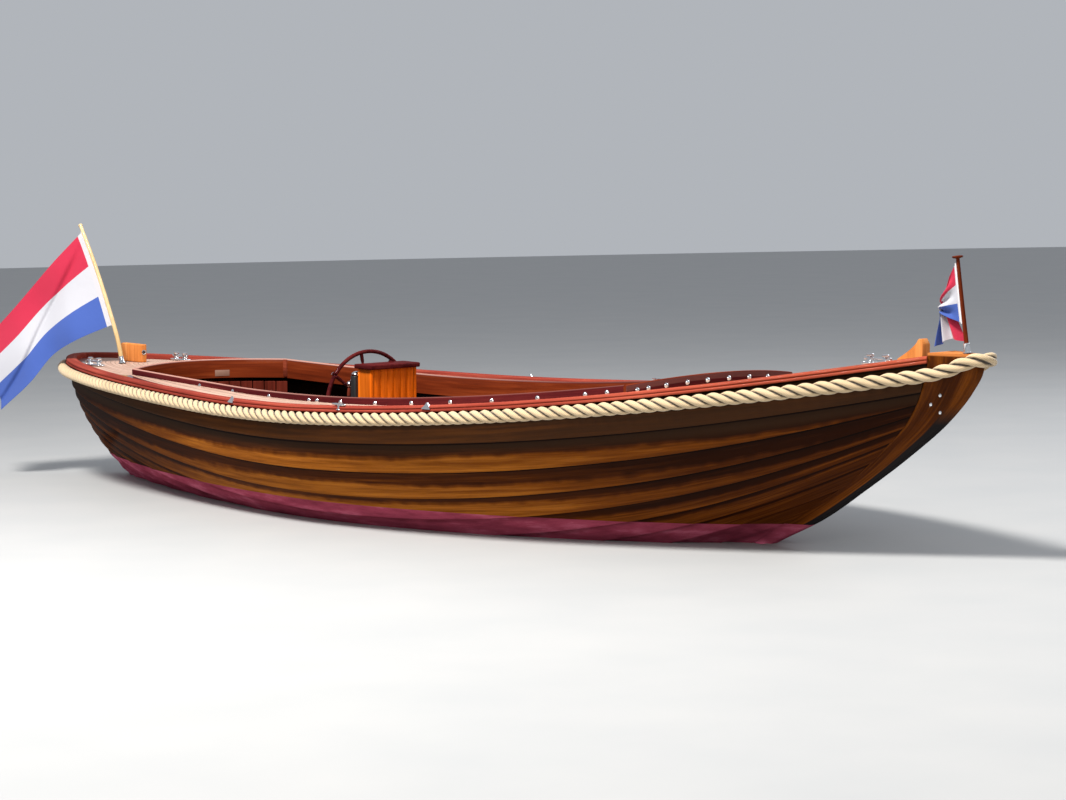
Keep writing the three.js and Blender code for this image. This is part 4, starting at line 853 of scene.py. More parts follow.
FLAG_RED = (0.40, 0.018, 0.048)
FLAG_WHITE = (0.43, 0.43, 0.47)
FLAG_BLUE = (0.044, 0.086, 0.310)


def flag_cloth(name):
    """Woven cloth in three stripes with a pale hem. UV: share to the fly, share down."""
    look = Look(name)
    fly, down, _ = look.parts(look.place("UV"))
    colour = look.mix(down.maths("GREATER_THAN", 1 / 3), FLAG_RED, FLAG_WHITE)
    colour = look.mix(down.maths("GREATER_THAN", 2 / 3), colour, FLAG_BLUE)
    colour = look.mix(fly.maths("LESS_THAN", 0.035), colour, CLOTH_HEM)
    creases = look.noise(look.place(), scale=14.0, detail=3.0)
    weave = look.noise(look.place(), scale=700.0, detail=1.0)
    return look.finish({"Base Color": colour, "Roughness": 0.85, "Specular IOR Level": 0.15,
                        "Sheen Weight": 0.15,
                        "Normal": look.bump(creases + weave * 0.05, 0.004, 0.5)})


# Pieces whose grain runs up
UPRIGHT = {"source": "Object", "order": (2, 1, 0)}
PLANKING = planking()
COAMING = varnished("mahogany_coaming", MAROON_TONES, extra=coaming_faces)
MAROON = varnished("mahogany_dark", MAROON_TONES, "Object")
RAIL = varnished("mahogany_red", RAIL_TONES, extra=rail_highlight_to_bow)
CONSOLE_FRONT = varnished("mahogany_console", CONSOLE_TONES, **UPRIGHT)
CHOCK = varnished("mahogany_pale", CHOCK_TONES, **UPRIGHT)
STAFF = varnished("mahogany_staff", INNER_TONES, **UPRIGHT)
ORANGE = varnished("mahogany_orange", ORANGE_TONES, **UPRIGHT)
ORANGE_LONG = varnished("mahogany_orange_long", ORANGE_TONES, "Object")
HULL_WOOD = varnished("hull_timber", HULL_TONES, "Object")
POST_WOOD = varnished("post_timber", POST_TONES, extra=over_bottom_paint, **UPRIGHT)
STEM_WOOD = varnished("stem_timber", HULL_TONES, axes=(0.12, 1, 1), order=(1, 0, 2),
                      extra=stem_edges)
SEAT_WOOD = varnished("mahogany_seat", SEAT_TONES, "Object")
SLATS = varnished("mahogany_slats", SLAT_TONES, **UPRIGHT)
ASH = varnished("ash", ASH_TONES, coat=0.15, **UPRIGHT)
TEAK = teak("teak_planks")
DECK = teak("teak_deck", board=0.075)
ROPE = laid_rope()
CHROME = metal("chrome", (0.80, 0.81, 0.83), 0.07)
BRONZE = metal("bronze", (0.52, 0.35, 0.15), 0.34, wear=0.6)
BOTTOM = bottom_paint()
ENGINE = painted("engine_enamel", (0.045, 0.14, 0.085), 0.4)
BLACK = painted("black_rubber", (0.012, 0.012, 0.013), 0.5)
BLANK_PLATE = painted("blank_plate", (0.27, 0.15, 0.105), 0.5)
ENSIGN_CLOTH = flag_cloth("ensign_cloth")
JACK_CLOTH = flag_cloth("jack_cloth")
HEM = painted("hem_cloth", (0.72, 0.71, 0.73), 0.85, speck=0.08)


# Hull


# Which point of a plank's section is its outer face's upper edge, the radius of its lower outer
# edge, and how far the grain moves on from plank to plank and on the port side
HEAD_POINT = 8
PLANK_EDGE = 0.0022
PLANK_GRAIN_STEP = 2.31
PORT_GRAIN_SHIFT = 0.7


def strake_sections(number):
    """Sections of one port plank, with a rounded lower edge outside."""
    lower = (number - 1) / STRAKES
    upper = number / STRAKES
    sections = []
    for k in range(STATIONS):
        s = station_share(k)
        foot, head, up, out, width = plank_frame(s, lower, upper)
        in_low = foot + out * SEAT
        reach = (head[2] - in_low[2]) / up[2] if number == STRAKES else width + LAP
        in_high = in_low + up * reach
        in_lap = in_low + up * LAP
        out_low = in_low + out * PLANK
        start = out_low + up * PLANK_EDGE
        face = [start + (head - start) * t for t in (0, 0.08, 0.35, 0.65, 0.92, 1)]
        section = [in_low, out_low - out * PLANK_EDGE,
                   out_low + (up - out) * PLANK_EDGE * 0.3] + face
        if number < STRAKES:
            next_foot, _, next_up, _, _ = plank_frame(s, upper, (number + 1) / STRAKES)
            section.append(next_foot + next_up * LAP)
        sections.append(section + [in_high, in_lap])
    return np.array(sections)


def plank_corners(sections, faces, number, shift):
    """UVs of a plank: metres along it, and up from its head, one whole metre a plank."""
    count, size = sections.shape[:2]
    steps = np.linalg.norm(np.diff(sections, axis=1), axis=2)
    up = np.concatenate([np.zeros((count, 1)), np.cumsum(steps, axis=1)], axis=1)
    up = up - up[:, HEAD_POINT:HEAD_POINT + 1] + number
    along = distances(sections.mean(axis=1)) + number * PLANK_GRAIN_STEP + shift
    place = np.stack([np.repeat(along[:, None], size, axis=1), up], axis=2).reshape(-1, 2)
    return [tuple(place[i]) for face in faces for i in face]


def build_planking():
    for number in range(1, STRAKES + 1):
        sections = strake_sections(number)
        for side, rows in (("port", sections), ("starboard", mirrored(sections))):
            points, faces, _ = lofted(rows)
            shift = PORT_GRAIN_SHIFT if side == "port" else 0.0
            corners = plank_corners(sections, faces, number, shift)
            name = f"strake_{side}_{number:02d}"
            build("plank_" + name, [(points, faces, corners)], PLANKING, angle=50,
                  replaces=[name])


# Rope fender


def even_path(points, spacing):
    """Points round a closed path at even distances."""
    points = np.concatenate([points, points[:1]])
    lengths = distances(points)
    places = np.linspace(0, lengths[-1], int(round(lengths[-1] / spacing)) + 1)[:-1]
    return np.stack([np.interp(places, lengths, points[:, i]) for i in range(3)], axis=1)


def smoothed(points, rounds):
    for _ in range(rounds):
        points = (np.roll(points, 1, axis=0) + 2 * points + np.roll(points, -1, axis=0)) / 4
    return points


def path_frames(path, ring):
    """Direction, and two directions across it, at the points of a path."""
    if ring:
        along = np.roll(path, -1, axis=0) - np.roll(path, 1, axis=0)
    else:
        along = np.gradient(path, axis=0)
    along /= np.linalg.norm(along, axis=1)[:, None]
    helper = np.where(np.abs(along[:, 2:3]) > 0.8, [[0.0, 1.0, 0.0]], [[0.0, 0.0, 1.0]])
    across = np.cross(along, helper)
    across /= np.linalg.norm(across, axis=1)[:, None]
    return along, across, np.cross(across, along)


def tube(path, radius, sides=10, ring=False):
    """Sections of a round bar along a path. radius is one number or one for each point."""
    path = np.asarray(path, float)
    _, across, up = path_frames(path, ring)
    radii = np.broadcast_to(radius, (len(path),))
    angles = 2 * np.pi * (np.arange(sides) + 0.5) / sides
    circle = (np.cos(angles)[None, :, None] * across[:, None, :]
              + np.sin(angles)[None, :, None] * up[:, None, :])
    return path[:, None, :] + circle * radii[:, None, None]


def rope_level(x):
    share = (x - ROPE_CLIMB["from"]) / (ROPE_CLIMB["to"] - ROPE_CLIMB["from"])
    return rope_height(min(x, BOW_TURN)) + ROPE_CLIMB["rise"] * min(max(share, 0), 1) ** 1.5


def rope_route():
    """Centre line of the rope, once round the hull."""
    radius = ROPE_RADIUS + 0.001
    level = rope_height(POST_FACE)
    half = [(POST_FACE - radius, 0.0, level)]
    for degrees in (0, 12, 25):
        angle = math.radians(degrees)
        half.append((POST_FACE - radius * math.cos(angle), 0.024 + radius * math.sin(angle),
                     level))
    side = [(x, y, rope_height(at)) for x, y, at in beside_sheer(ROPE_STANDOFF)[3:]]
    half += side
    turn_level = rope_level(ROPE_CLIMB["to"])
    bow_radius = stem_face(turn_level) + ROPE_RADIUS + 0.002 - BOW_TURN
    reach = STEM_HEAD_HALF + ROPE_RADIUS + 0.004
    turn = []
    for degrees in np.linspace(72, 0, 9):
        angle = math.radians(degrees)
        turn.append((BOW_TURN + bow_radius * math.cos(angle), reach * math.sin(angle),
                     turn_level))
    for t in (0.15, 0.3, 0.45, 0.6, 0.75, 0.9):
        x = lerp(side[-1][0], turn[0][0], t)
        half.append((x, lerp(side[-1][1], turn[0][1], t), rope_level(x)))
    half += turn
    other = [(x, -y, z) for x, y, z in half[-2:0:-1]]
    return np.array(half + other)


def build_rope():
    path = even_path(rope_route(), ROPE_STEP)
    path = even_path(smoothed(path, 6), ROPE_STEP)
    length = np.linalg.norm(np.roll(path, -1, axis=0) - path, axis=1).sum()
    bow = np.clip((path[:, 0] - LAY_FROM) / (ROPE_END - LAY_FROM), 0, 1)
    lays = lerp(LAY[0], LAY[1], bow**2)
    wound = np.concatenate([[0], np.cumsum(length / len(path) / lays)])
    wound = wound[:-1] * round(wound[-1]) / wound[-1]
    _, across, up = path_frames(path, ring=True)
    parts = []
    for strand in range(STRANDS):
        angle = -2 * np.pi * (wound + strand / STRANDS)
        out = np.cos(angle)[:, None] * across + np.sin(angle)[:, None] * up
        centre = path + out * (ROPE_RADIUS - STRAND)
        parts.append(lofted(tube(centre, STRAND, 10, ring=True), ring=True))
    rope = build("laid_rope", parts, ROPE, angle=180, replaces=["rope_fender"])
    places = np.array([points for points, _, _ in parts]).reshape(STRANDS, len(path), -1, 3)
    # Depth of each point into the rope, for the painted shade in its grooves
    out = np.linalg.norm(places - path[None, :, None, :], axis=3).ravel() / ROPE_RADIUS
    groove_shade = rope.data.attributes.new("depth", "FLOAT", "POINT")
    groove_shade.data.foreach_set("value", np.clip((0.92 - out) / 0.30, 0, 1))


# Rails, coamings and decks

RAIL_PROFILE = [
    # out from the sheer, above the rope's centre
    (-0.048, PLANK_TOP + SEAT), (0.0135, PLANK_TOP + SEAT), (0.0170, 0.0315), (0.0180, 0.0350),
    (0.0172, 0.0395), (0.0150, 0.0420), (0.0112, 0.0430), (0.0106, 0.0445), (0.0138, 0.0460),
    (0.0158, 0.0490), (0.0150, 0.0540), (0.0115, 0.0580), (0.0060, 0.0598), (-0.0080, RAIL_TOP),
    (-0.0300, RAIL_TOP), (-0.0420, 0.0592), (-0.0465, 0.0570), (-0.0480, 0.0530),
]


def build_rails():
    lines = [beside_sheer(out) for out, _ in RAIL_PROFILE]
    sections = np.array([[(line[k][0], line[k][1], sheer_height(line[k][2]) + height)
                          for line, (_, height) in zip(lines, RAIL_PROFILE)]
                         for k in range(len(lines[0]))])
    build("rail_cap_port", [lofted(sections)], RAIL, replaces=["rail_port"])
    build("rail_cap_starboard", [lofted(mirrored(sections))], RAIL, replaces=["rail_starboard"])


def coaming_half(x):
    """Half breadth of the coaming's outer face, which is rounded at its after corners."""
    corner = COAMING_AFT + COAMING_CORNER
    share = (corner - x) / COAMING_CORNER if x < corner else 0.0
    return coaming_side(x) * math.sqrt(max(1 - share, 0.0))


def coaming_slope(x):
    return (coaming_half(x + 0.01) - coaming_half(x - 0.01)) / 0.02


def coaming_plan():
    """Outer face of the coaming, from the stern's centreline forward."""
    corner = []
    for share in np.linspace(0, 1, 26):
        x = COAMING_AFT + COAMING_CORNER * share**2
        corner.append((x, SEAT / 2 if share == 0 else coaming_half(x)))
    past_corner = COAMING_AFT + COAMING_CORNER + 0.03
    straight = [(x, coaming_half(x)) for x in np.linspace(past_corner, COAMING_FORE, 60)]
    return np.array(corner + straight), len(corner)


def moved(path, offset):
    """A plan path moved sideways, to port for a positive offset on a path going forward."""
    along = np.gradient(path, axis=0)
    along[0] = (0, 1)
    along /= np.linalg.norm(along, axis=1)[:, None]
    shifted = path + offset * np.stack([-along[:, 1], along[:, 0]], axis=1)
    shifted[:, 1] = np.maximum(shifted[:, 1], SEAT / 2)
    return shifted


COAMING_PLAN, CORNER_COUNT = coaming_plan()


def coaming_top(x):
    return rope_height(x) + coaming_rise(x)


BOARD_PROFILE = [
    # inwards from the outer face, below the top
    (0.0, COAMING_DEPTH), (0.0, 0.060), (0.0, 0.007), (0.0018, 0.0025), (0.006, 0.0),
    (0.014, 0.0), (0.0182, 0.0025), (0.020, 0.007), (0.020, 0.060), (0.020, COAMING_DEPTH),
]


def build_coamings():
    inner = [moved(COAMING_PLAN, -depth) for depth, _ in BOARD_PROFILE]
    sections = np.array([[(*inner[i][k], coaming_top(COAMING_PLAN[k][0]) - down)
                          for i, (_, down) in enumerate(BOARD_PROFILE)]
                         for k in range(len(COAMING_PLAN))])
    build("coaming_board_port", [lofted(sections)], COAMING, replaces=["coaming_port"])
    build("coaming_board_starboard", [lofted(mirrored(sections))], COAMING,
          replaces=["coaming_starboard"])


FRONT_HALF = coaming_half(COAMING_FORE)


def front_place(y):
    return FRONT_CENTRE - (FRONT_CENTRE - COAMING_FORE) * (y / FRONT_HALF) ** 2


def build_front_board():
    sections = []
    for share in np.linspace(-1, 1, 41):
        y = share * FRONT_HALF
        x = front_place(y) + SEAT + COAMING_THICKNESS
        top = coaming_top(COAMING_FORE) + FRONT_CROWN * (1 - share**2)
        bottom = coaming_top(COAMING_FORE) - COAMING_DEPTH
        sections.append([(x - depth, y, bottom if down == COAMING_DEPTH else top - down)
                         for depth, down in BOARD_PROFILE])
    build("coaming_board_front", [lofted(sections)], COAMING, replaces=["coaming_front"])


RAIL_INNER = np.array([(x, y) for x, y, _ in beside_sheer(-RAIL_IN - SEAT)])


def rail_at(x):
    return float(np.interp(x, RAIL_INNER[1:, 0], RAIL_INNER[1:, 1]))


def build_side_decks():
    plan = moved(COAMING_PLAN, SEAT)
    lengths = distances(RAIL_INNER)
    stern = float(np.interp(plan[CORNER_COUNT][0], RAIL_INNER[:, 0], lengths))
    rows = []
    for k, (x, y) in enumerate(plan):
        if k < CORNER_COUNT:
            place = stern * k / CORNER_COUNT
            rail = [float(np.interp(place, lengths, RAIL_INNER[:, i])) for i in (0, 1)]
        else:
            rail = [x, rail_at(x)]
        outer = np.array([rail[0], max(rail[1] - 0.0001, SEAT / 2),
                          sheer_height(rail[0]) + DECK_TOP])
        inner = np.array([x, y, sheer_height(x) + DECK_TOP + deck_camber(x)])
        rows.append([lerp(outer, inner, t) for t in np.linspace(0, 1, 9)])
    # The joint with the foredeck, under the front board
    reach = COAMING_THICKNESS + SEAT
    rows.append([place + np.array([reach, -DECK_CLOSING * reach, 0.0]) for place in rows[-1]])
    for side, grid in (("port", rows), ("starboard", mirrored(rows))):
        build("deck_" + side, [slab(grid, DECK_THICKNESS)], DECK,
              replaces=["side_deck_" + side])


def build_foredeck():
    end = SHEER_FORE - 0.003
    front = COAMING_THICKNESS + 2 * SEAT + 0.001
    board_share = FRONT_HALF / rail_at(COAMING_FORE + front)
    rows = []
    for t in np.linspace(0, 1, 36):
        half = rail_at(lerp(COAMING_FORE + front, end, t)) - 0.0002
        row = []
        for share in np.linspace(-1, 1, 41):
            on_board = min(abs(share) / board_share, 1) * FRONT_HALF
            x = lerp(front_place(on_board) + front, end, t)
            rise = min(1, end + FLAT_FROM - x) * (
                deck_camber(x) * (1 - share**8) + FOREDECK_CAMBER * (1 - share**2))
            row.append((x, share * half, sheer_height(x) + DECK_TOP + rise))
        rows.append(row)
    points, faces, corners = slab(rows, DECK_THICKNESS)
    corners = [(u, rail_at(min(u, end)) - abs(v - rail_at(min(u, end)))) for u, v in corners]
    build("deck_fore", [(points, faces, corners)], DECK, replaces=["foredeck"])


# Small solids that several fittings share


def soft_box(low, high, radius, steps=3):
    """Points, faces and UVs of a block with rounded edges, lofted along X."""
    low, high = np.array(low, float), np.array(high, float)
    angles = [math.pi / 2 * k / steps for k in range(steps + 1)]
    inset = [(radius * (1 - math.sin(a)), radius * (1 - math.cos(a))) for a in angles]
    stations = [(low[0] + along, shrink) for shrink, along in inset]
    stations = stations + [(high[0] - along, shrink) for shrink, along in inset[::-1]]
    sections = []
    for x, shrink in stations:
        section = []
        for y_side, z_side in ((1, 1), (-1, 1), (-1, -1), (1, -1)):
            y = (high[1] if y_side > 0 else low[1]) - y_side * radius
            z = (high[2] if z_side > 0 else low[2]) - z_side * radius
            corner = [(y + y_side * (radius - shrink) * math.sin(a),
                       z + z_side * (radius - shrink) * math.cos(a)) for a in angles]
            if y_side * z_side > 0:
                corner = corner[::-1]
            section += [(x, b, c) for b, c in corner]
        sections.append(section)
    return lofted(sections)


def turned(profile, centre, axis, sides=20):
    """Points, faces and UVs of a turned solid. profile: radius, distance along the axis."""
    axis = unit(np.array(axis, float))
    helper = np.array([0.0, 0.0, 1.0]) if abs(axis[2]) < 0.8 else np.array([0.0, 1.0, 0.0])
    across = unit(np.cross(axis, helper))
    up = np.cross(across, axis)
    angles = 2 * np.pi * np.arange(sides) / sides
    circle = np.cos(angles)[:, None] * across + np.sin(angles)[:, None] * up
    sections = [np.array(centre, float) + axis * along + circle * max(radius, 0.0002)
                for radius, along in profile]
    return lofted(sections)


def own_box(name):
    """Lowest and highest corners of a CAD node along the launch's own base line."""
    back = AFLOAT.inverted()
    places = np.array([back @ v.co for v in NODES[name].data.vertices])
    return places.min(axis=0), places.max(axis=0)


# Stem


def hood_half(z):
    """Half breadth of the plank ends on the stem at a height."""
    girths = np.linspace(0, 1, 60)
    ends = [hull_point(1, girth) for girth in girths]
    return float(np.interp(z, [p[2] for p in ends], [p[1] for p in ends]))


def stem_section(z):
    below = z < LAP_TABLE[0][0] + 0.001
    back = (STEM_RABBET[0][1] if below else stem_rabbet(min(z, SHEER_STEM))) + 0.0005
    face = stem_face(z)
    wide = KEEL_HALF - 0.0005 if below else hood_half(min(z, SHEER_STEM)) - 0.0006
    narrow = min(STEM_HEAD_HALF, wide)
    nose = min(0.008, (face - back) / 3)
    gap = min(RABBET_GAP, (face - back) / 4)
    side = [(back + gap, wide - RABBET_STEP), (back, wide), (back + 0.004, wide - 0.0005)]
    side += [(lerp(back, face - nose, t), lerp(wide, narrow, t)) for t in (0.3, 0.6, 0.9, 1.0)]
    for degrees in (25, 50, 75):
        angle = math.radians(degrees)
        side.append((face - nose + nose * math.sin(angle),
                     lerp(narrow * 0.55, narrow, math.cos(angle))))
    side.append((face, narrow * 0.5))
    return [(x, y, z) for x, y in side] + [(x, -y, z) for x, y in side[::-1]]


def stem_half(x, z):
    """Half breadth of the stem's side at a place and height."""
    section = stem_section(z)[:7]
    return float(np.interp(x, [p[0] for p in section], [p[1] for p in section]))


def build_stem():
    heights = np.concatenate([np.linspace(-0.326, 0.905, 80), [0.912, STEM_TOP]])
    sections = [stem_section(z) for z in heights]
    points, faces, _ = lofted(sections)
    size = len(sections[0])
    places = []
    for z, section in zip(heights, sections):
        back = section[1][0]
        face = section[size // 2][0]
        places += [((x - back) / (face - back), z) for x, _, _ in section]
    corners = [places[i] for face in faces for i in face]
    build("stem_timber", [(points, faces, corners)], STEM_WOOD, replaces=["stem"])
    screws = [turned(SCREW_PROFILE, (x, side * stem_half(x, z), z), (0.12, side, 0), 12)
              for x, z in STEM_SCREWS for side in (1, -1)]
    build("stem_screws", screws, CHROME)


# Fittings along the coaming and the rail


def build_studs():
    """Turn buttons along the coaming's outer faces and the front board."""
    parts = []
    for x in COAMING_STUDS:
        for side in (1, -1):
            out = unit(np.array([-coaming_slope(x), side, 0.0]))
            place = (x, side * coaming_half(x), coaming_top(x) - STUD_DOWN)
            parts.append(turned(STUD_PROFILE, place, out, 14))
    for y in FRONT_STUDS:
        x = front_place(y) + SEAT + COAMING_THICKNESS
        top = coaming_top(COAMING_FORE) + FRONT_CROWN * (1 - (y / FRONT_HALF) ** 2)
        parts.append(turned(STUD_PROFILE, (x, y, top - FRONT_STUD_DOWN), FORWARD, 14))
    build("coaming_studs", parts, CHROME)


def rail_place(x, out):
    """Point, direction along and direction out of the rail's line at a place."""
    line = beside_sheer(out)
    xs = [p[0] for p in line[3:]]
    ys = [p[1] for p in line[3:]]
    y = float(np.interp(x, xs, ys))
    ahead = float(np.interp(x + 0.02, xs, ys))
    along = unit(np.array([0.02, ahead - y, 0.0]))
    return y, along, np.array([-along[1], along[0], 0.0])


def build_rail_fittings():
    """Eyes on small pyramid plates, and a tee cleat, on top of both rails."""
    for side, label in ((1, "port"), (-1, "starboard")):
        solids = []
        for x in RAIL_EYES:
            y, along, out = rail_place(x, EYE_OUT)
            base = np.array([x, y, sheer_height(x) + LEDGE])
            solids.append([[base + along * a * share + out * b * share + np.array([0, 0, height])
                            for a, b in ((0.026, 0.013), (-0.026, 0.013), (-0.026, -0.013),
                                         (0.026, -0.013))] for share, height in EYE_STEPS])
        y, along, _ = rail_place(RAIL_CLEAT, CLEAT_OUT)
        base = np.array([RAIL_CLEAT, y, sheer_height(RAIL_CLEAT) + LEDGE])
        foot, _, _ = turned(CLEAT_FOOT, base, UP, 14)
        bar = [base + along * t + np.array([0, 0, 0.025]) for t, _ in CLEAT_BAR]
        solids.append(foot.reshape(len(CLEAT_FOOT), -1, 3))
        solids.append(tube(bar, np.array([radius for _, radius in CLEAT_BAR]), 10))
        flip = np.array([1, side, 1])
        build("rail_fittings_" + label, [lofted(np.array(rings) * flip) for rings in solids],
              CHROME)


def build_bollard(name):
    low, high = own_box(name)
    x, y = (low[0] + high[0]) / 2, (low[1] + high[1]) / 2
    foot = low[2]
    parts = [soft_box(low, (high[0], high[1], foot + BOLLARD["plate"]), 0.004)]
    for post in (x - BOLLARD["post"], x + BOLLARD["post"]):
        parts.append(turned(BOLLARD_POST, (post, y, foot), UP, 24))
        for side in (-1, 1):
            screw = (post + side * BOLLARD["screw_along"], y + side * BOLLARD["screw_across"],
                     foot + BOLLARD["screw_up"])
            parts.append(turned(BOLLARD_SCREW, screw, UP, 12))
    bar = (x - BOLLARD["bar"], y, foot + BOLLARD["bar_up"])
    parts.append(turned(BOLLARD_BAR, bar, FORWARD, 20))
    build("double_" + name, parts, CHROME, replaces=[name])


def build_bollards():
    for name in ("bollard_bow", "bollard_quarter_port", "bollard_quarter_starboard"):
        build_bollard(name)


def build_stern_block():
    """Varnished chock abaft the cockpit, with a bush in its fore side whose hole is a black disc of
    painted shade.
    """
    low, high = own_box("stern_block")
    build("chock", [soft_box(low, high, 0.006)], CHOCK, replaces=["stern_block"])
    place = (high[0], 0.0, low[2] + 0.058)
    build("chock_bush", [turned(BUSH, place, FORWARD, 24)], CHROME)
    # A thin black disc in the bush stands for the shade in its hole
    build("chock_hole_shade", [turned([(0.0096, 0.0), (0.0096, 0.0010)], place, FORWARD, 24)], BLACK)


def build_bitt():
    low, _ = own_box("bow_bitt")
    x, half, top, knee, slope = BITT.values()
    foot = low[2]
    side = [(x + half, foot), (x + half, top - slope), (x + half - 0.003, top - slope + 0.007),
            (x + 0.012, top - 0.003), (x + 0.009, top), (x + 0.003, top), (x - 0.001, top - 0.003)]
    for t in np.linspace(0.1, 1, 12):
        side.append((lerp(x - 0.001, knee, t), lerp(top - 0.003, foot + 0.004, t**0.72)))
    side.append((knee, foot))
    sections = []
    for y, shrink in ((-half, 0.003), (-half + 0.003, 0), (half - 0.003, 0), (half, 0.003)):
        middle = np.mean(side, axis=0)
        sections.append([(a + (middle[0] - a) * shrink * 8, y, b + (middle[1] - b) * shrink * 8
                          if b > foot + 0.001 else b) for a, b in side])
    build("bitt", [lofted(sections)], CHOCK, replaces=["bow_bitt"])


# Staffs and flags

ensign_staff_at = follow([(z, x) for x, z in ENSIGN_STAFF])
jackstaff_at = follow([(z, x) for x, z in JACKSTAFF])


def build_staff(name, at, side, radius, node, finish, truck):
    low, high = own_box(node)
    heights = np.linspace(low[2] + 0.001, high[2] - 0.002, 40)
    path = [(at(z), side, z) for z in heights]
    share = (heights - heights[0]) / (heights[-1] - heights[0])
    radii = radius * (1 - 0.22 * share)
    build(name, [lofted(tube(path, radii, 16))], finish, angle=50, replaces=[node])
    top = np.array(path[-1])
    lean = unit(top - np.array(path[-4]))
    profile = [(r, a - 0.010) for r, a in truck]
    build(name + "_truck", [turned(profile, top, lean, 24)], finish)
    foot = np.array(path[0])
    up = unit(np.array(path[4]) - foot)
    socket = [(0.020, -0.001), (0.024, 0.0), (0.024, 0.003), (radius + 0.005, 0.005),
              (radius + 0.003, 0.036), (radius + 0.004, 0.040), (radius + 0.002, 0.042)]
    build(name + "_socket", [turned(socket, foot, up, 24)], CHROME)


def build_staffs():
    build_staff("flagstaff", ensign_staff_at, STAFF_SIDE, 0.0130, "ensign_staff", ASH,
                STAFF_TRUCK)
    build_staff("jack_staff", jackstaff_at, 0.0, 0.0098, "jackstaff", STAFF, JACK_TRUCK)


def cloth_mesh(rows):
    """A thin closed cloth over a grid of points. UV: share from hoist to fly, from head to foot."""
    rows = np.asarray(rows, float)
    count, size = rows.shape[:2]
    normal = np.cross(np.gradient(rows, axis=0), np.gradient(rows, axis=1))
    normal /= np.linalg.norm(normal, axis=2)[:, :, None]
    shares = np.stack(np.meshgrid(np.linspace(0, 1, count), np.linspace(0, 1, size),
                                  indexing="ij"), axis=2)
    half = normal * CLOTH_THICKNESS / 2
    return sheet(rows + half, rows - half, shares)


def build_ensign():
    away = [0.0, 0.25, 0.5, 0.75, 1.0]
    columns = {key: follow([(t, row[i]) for t, row in zip(away, ENSIGN)])
               for i, key in enumerate(("head_away", "head_down", "foot_away", "foot_down",
                                        "wave"))}
    rows = []
    for t in np.linspace(0, 1, 61):
        row = []
        for share in np.linspace(0, 1, 41):
            hoist = lerp(ENSIGN_HOIST["head"], ENSIGN_HOIST["foot"], share)
            out = lerp(columns["head_away"](t), columns["foot_away"](t), share)
            down = lerp(columns["head_down"](t), columns["foot_down"](t), share)
            wave = columns["wave"](t) * (0.5 + share)
            crease = math.sin(ENSIGN_CREASE["down"] * share + ENSIGN_CREASE["out"] * t)
            off = (share - ENSIGN_FOLD["from"] - ENSIGN_FOLD["lean"] * t) / ENSIGN_FOLD["wide"]
            fold = math.exp(-max(off, 0) / 3.5) / (1 + math.exp(-4 * off))
            wave += (ENSIGN_CREASE["size"] * crease * min(1, 4 * t)
                     - ENSIGN_FOLD["size"] * fold * min(1, 6 * t))
            row.append((ensign_staff_at(hoist) - ENSIGN_HOIST["gap"] + out * FLY[0]
                        - wave * FLY[1],
                        STAFF_SIDE + out * FLY[1] + wave * FLY[0], hoist - down))
        rows.append(row)
    return build("ensign_cloth", [cloth_mesh(rows)], ENSIGN_CLOTH, angle=60,
                 replaces=["ensign"])


def build_jack():
    """Limp flag: from the staff to a fold, then back behind itself and down."""
    shares = (0, 1 / 3, 2 / 3, 1)
    fold_x, fold_down, fly_x, fly_down = (
        follow([(share, row[i]) for share, row in zip(shares, JACK_FALL)]) for i in range(4))
    head = np.array([jackstaff_at(JACK_HOIST["head"]), JACK_HOIST["head"]])
    rows = []
    for t in np.linspace(0, 1, 91):
        row = []
        for share in np.linspace(0, 1, 61):
            hoist = lerp(JACK_HOIST["head"], JACK_HOIST["foot"], share)
            begin = np.array([jackstaff_at(hoist) - JACK_HOIST["gap"], hoist])
            fold = head + np.array([fold_x(share), -fold_down(share)])
            fly = head + np.array([fly_x(share), -fly_down(share)])
            x, z = lerp(begin, fold, t * 2) if t < 0.5 else lerp(fold, fly, t * 2 - 1)
            turn = min(max((t - JACK_TURN["from"]) / JACK_TURN["wide"], 0), 1)
            layer = -JACK_LAYER * math.cos(math.pi * turn) * min(1, 5 * t)
            pleat = JACK_PLEAT * math.sin(math.pi * min(t * 1.4, 0.5)) ** 2
            layer += pleat * math.sin(5 * math.pi * share + 2.2 * t)
            row.append((x, layer, z))
        rows.append(row)
    return build("jack_cloth", [cloth_mesh(rows)], JACK_CLOTH, angle=60,
                 replaces=["jack_flag"])


def build_hem(name, at, side, hoist, away, radius):
    """The flag's white hem, beside its staff."""
    heights = np.linspace(hoist["foot"] - 0.004, hoist["head"] + 0.004, 20)
    path = [(at(z) - away, side, z) for z in heights]
    return build(name, [lofted(tube(path, radius, 12))], HEM, angle=60)


def build_flags():
    ensign_hem = build_hem("ensign_hem", ensign_staff_at, STAFF_SIDE, ENSIGN_HOIST, 0.0190,
                           0.0048)
    jack_hem = build_hem("jack_hem", jackstaff_at, 0.0, JACK_HOIST, 0.0136, 0.0040)
    build_ensign()
    build_jack()


# Cockpit


